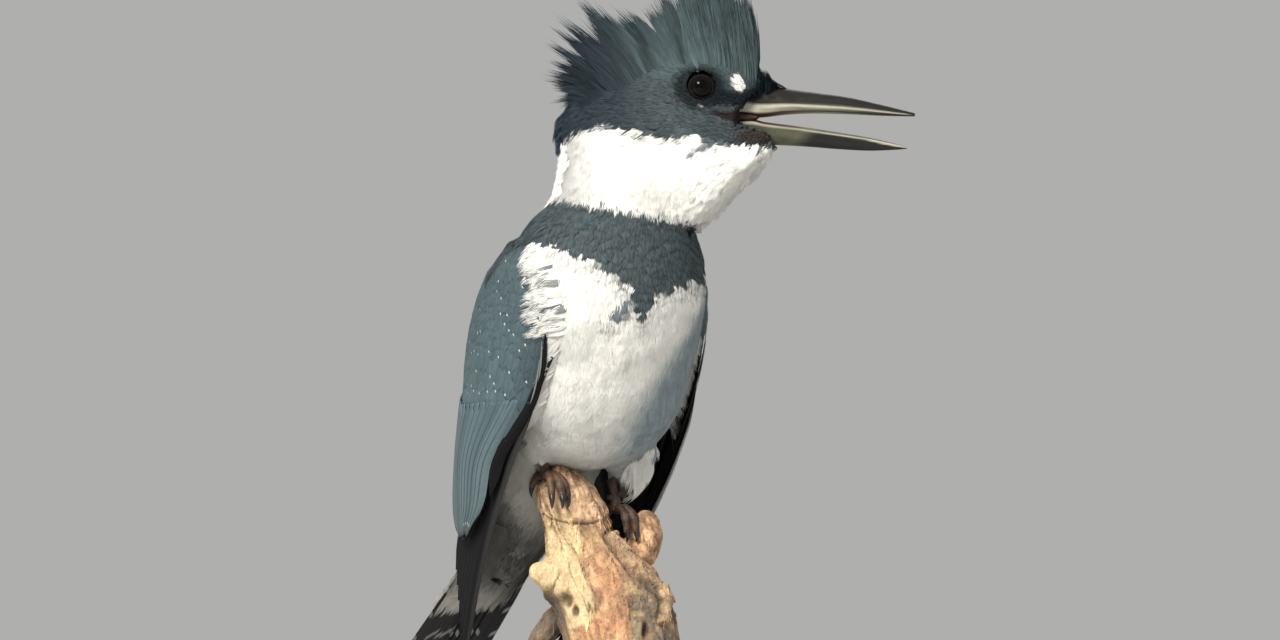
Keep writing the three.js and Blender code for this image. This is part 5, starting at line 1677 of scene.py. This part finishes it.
    # Old bark is crusted with dark and pale spots.
    crusty = np.maximum(on_knob, 0.85 * step_up(-24, -16, slanted_up) * step_up(15, 10, across))
    crusty = np.maximum(crusty, 0.5 * (1 - bare_wood) * (1 - lower_limb))
    knots = rough(points, 2.6, 97)
    dark_spots = np.maximum(step_up(0.56, 0.66, knots), 0.8 * on_knob * step_up(25, 28, across))
    colour = mixed(colour, RUST_BARK * [0.36, 0.40, 0.50], 0.75 * crusty * dark_spots)
    colour = mixed(colour, CREAM * [0.95, 0.82, 0.86], crusty * 0.6 * step_up(0.42, 0.34, knots))
    fibrous = 0.72 + 0.5 * fibre + 0.12 * (flakes - 0.5)
    stained = 0.82 + 0.36 * rough(points, 11.0, 90)
    return lift, colour * (fibrous * stained)[:, None]


lift, wood_colour = wood_at(to_branch(wood_points))
sawn = (wood_normals[:, 2] < -0.9) & (to_branch(wood_points)[:, 2] < -100)
lift = np.where(sawn, 0.0, lift)
wood_points = wood_points + wood_normals * (lift * MM)[:, None]
wood_points[:, 2] = np.maximum(wood_points[:, 2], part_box("perch")[0].z)
moved_points(perch, wood_points)
perch.data.shade_smooth()
note(perch, "tint", np.where(sawn[:, None], CREAM * 0.7, wood_colour))
wood_finish = Finish("dead_wood", 0.8, 0.2)
streak = wood_finish.noise(wood_finish.place((1.0, 1.0, 0.25)), 620.0, 5.0, 0.65)
grit = wood_finish.noise(wood_finish.place(), 1100.0, 4.0)
wood_shade = wood_finish.shaded(wood_finish.noted("tint"), streak, (0.3, 0.70), (0.7, 1.18))
wood_shade = wood_finish.shaded(wood_shade, grit, (0.35, 0.80), (0.65, 1.12))
wood_finish.wear(wood_shade, wood_finish.total(streak, wood_finish.product(grit, 0.6)), 0.7, 0.0007)
dressed(perch, wood_finish)
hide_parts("perch")

# Loose splinters and flakes lie along the grain, mostly by the ledge, the shard and the broken edges.
perch_tree = BVHTree.FromObject(perch, bpy.context.evaluated_depsgraph_get())
across, through, up = to_branch(wood_points).T
off_cream = across - np.interp(up, *CREAM_EDGE.T)
near_break = np.exp(-((off_line(across, up, SHARD)[0] / 3.0) ** 2)) * (through < 2)
near_break += 0.5 * np.exp(-((off_line(across, up, LEDGE)[0] / 2.0) ** 2)) * (through < 2)
near_break += 0.05 + 0.35 * np.exp(-((off_cream / 2.0) ** 2)) * (through < 0)
near_break *= (up > -96) & (up < -8)
count = 300
picks = seeded.choice(len(wood_points), count, p=near_break / near_break.sum())
long = seeded.uniform(2.0, 5.5, count)
half = long * seeded.uniform(0.09, 0.16, count)
lean = seeded.normal(0, 0.22, count)
t, s = np.linspace(0, 1, 7), np.linspace(-1, 1, 3)
grid = np.empty((count, 7, 3, 3))
for number, pick in enumerate(picks):
    normal = Vector(wood_normals[pick])
    down = Vector((lean[number], lean[number] * 0.5, -1))
    down = (down - normal * down.dot(normal)).normalized()
    side = down.cross(normal)
    lifted = seeded.uniform(0.1, 0.8) * (1 if seeded.random() < 0.6 else -0.1)
    for row, share in enumerate(t):
        spot = Vector(wood_points[pick]) + down * (share * long[number] * MM)
        spot, normal_here, _, _ = perch_tree.find_nearest(spot)
        spot = spot + normal_here * ((0.12 + lifted * share**2) * MM)
        breadth = half[number] * (1 - share**2.5) * (0.6 + 0.4 * math.sin(3.1 * share + number))
        for column, place_across in enumerate(s):
            grid[number, row, column] = spot + side * (place_across * breadth * MM)
tints = wood_colour[picks] * seeded.uniform(0.85, 1.35, (count, 1))
vanes("perch_splinters", grid, tints, half, long, 0, wood_finish, 0.35)

# ---------- the stand ----------
# A turned hardwood disc under dark satin lacquer, with a bead near its edge and felt-soft corners.
# Two straight brushed steel rods rise from it into the branch.

base_low, base_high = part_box("stand_base")
radius, height = (base_high.x - base_low.x) / 2, base_high.z - base_low.z
base_middle = np.array([(base_low.x + base_high.x) / 2, (base_low.y + base_high.y) / 2, base_low.z])
PROFILE = (  # share of the radius, share of the height
    (0.965, 0.0), (0.985, 0.02), (0.993, 0.06), (0.998, 0.14), (1.0, 0.30), (1.0, 0.55), (0.998, 0.70),
    (0.992, 0.82), (0.984, 0.90), (0.972, 0.955), (0.960, 0.985), (0.945, 1.0), (0.905, 1.0), (0.897, 0.985),
    (0.890, 0.93), (0.883, 0.985), (0.875, 1.0), (0.5, 1.0), (0.1, 1.0),
)
lacquer = Finish("dark_lacquer", 0.32, 0.5)
lacquer.put(0.35, lacquer.shader.inputs["Coat Weight"])
lacquer.put(0.2, lacquer.shader.inputs["Coat Roughness"])
board = lacquer.place((18.0, 160.0, 160.0))
board_colour = lacquer.ramp(lacquer.noise(board, 1.6, 6.0, 0.6), (0.3, (0.018, 0.011, 0.008)),
                            (0.55, (0.050, 0.028, 0.018)), (0.75, (0.085, 0.048, 0.028)))
lacquer.wear(board_colour, lacquer.noise(board, 9.0), 0.15)


def lathed(middle, radius, profile, around):
    """Rings round an upright line through middle, from shares of the radius and heights in metres."""
    flat = np.stack([np.cos(circle(around)), np.sin(circle(around)), np.zeros(around)], -1)
    return [middle + flat * share * radius + [0, 0, up] for share, up in profile]


rings = lathed(base_middle, radius, [(share, up * height) for share, up in PROFILE], 128)
base = turned_piece("stand_disc", rings, lacquer)
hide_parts("stand_base")

steel = Finish("brushed_steel", 0.3, 0.5)
steel.put(1.0, steel.shader.inputs["Metallic"])
brushed = steel.noise(steel.place((60.0, 60.0, 3000.0)), 1.0, 4.0)
steel.wear(steel.ramp(brushed, (0.3, (0.36, 0.36, 0.37)), (0.7, (0.58, 0.58, 0.59))), brushed, 0.2, 0.0002)
steel.dull(brushed, 0.24, 0.42)
FERRULE = (  # share of the rod's radius, millimetres over the disc
    (1.0, 0), (1.45, 0.1), (1.55, 0.5), (1.55, 1.6), (1.42, 2.1), (1.02, 2.3), (1.0, 2.8),
)
for hand in ("right", "left"):
    rod_low, rod_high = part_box("stand_rod_" + hand)
    middle = np.array([(rod_low.x + rod_high.x) / 2, (rod_low.y + rod_high.y) / 2, 0])
    profile = [(0.9, rod_low.z), (1.0, rod_low.z + 0.4 * MM)]
    profile += [(share, base_high.z + up * MM) for share, up in FERRULE]
    profile += [(1.0, (base_high.z + rod_high.z) / 2), (1.0, rod_high.z - 0.5 * MM), (0.9, rod_high.z)]
    rings = lathed(middle, (rod_high.x - rod_low.x) / 2, profile, 40)
    rod = turned_piece("stand_post_" + hand, rings, steel)
    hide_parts("stand_rod_" + hand)
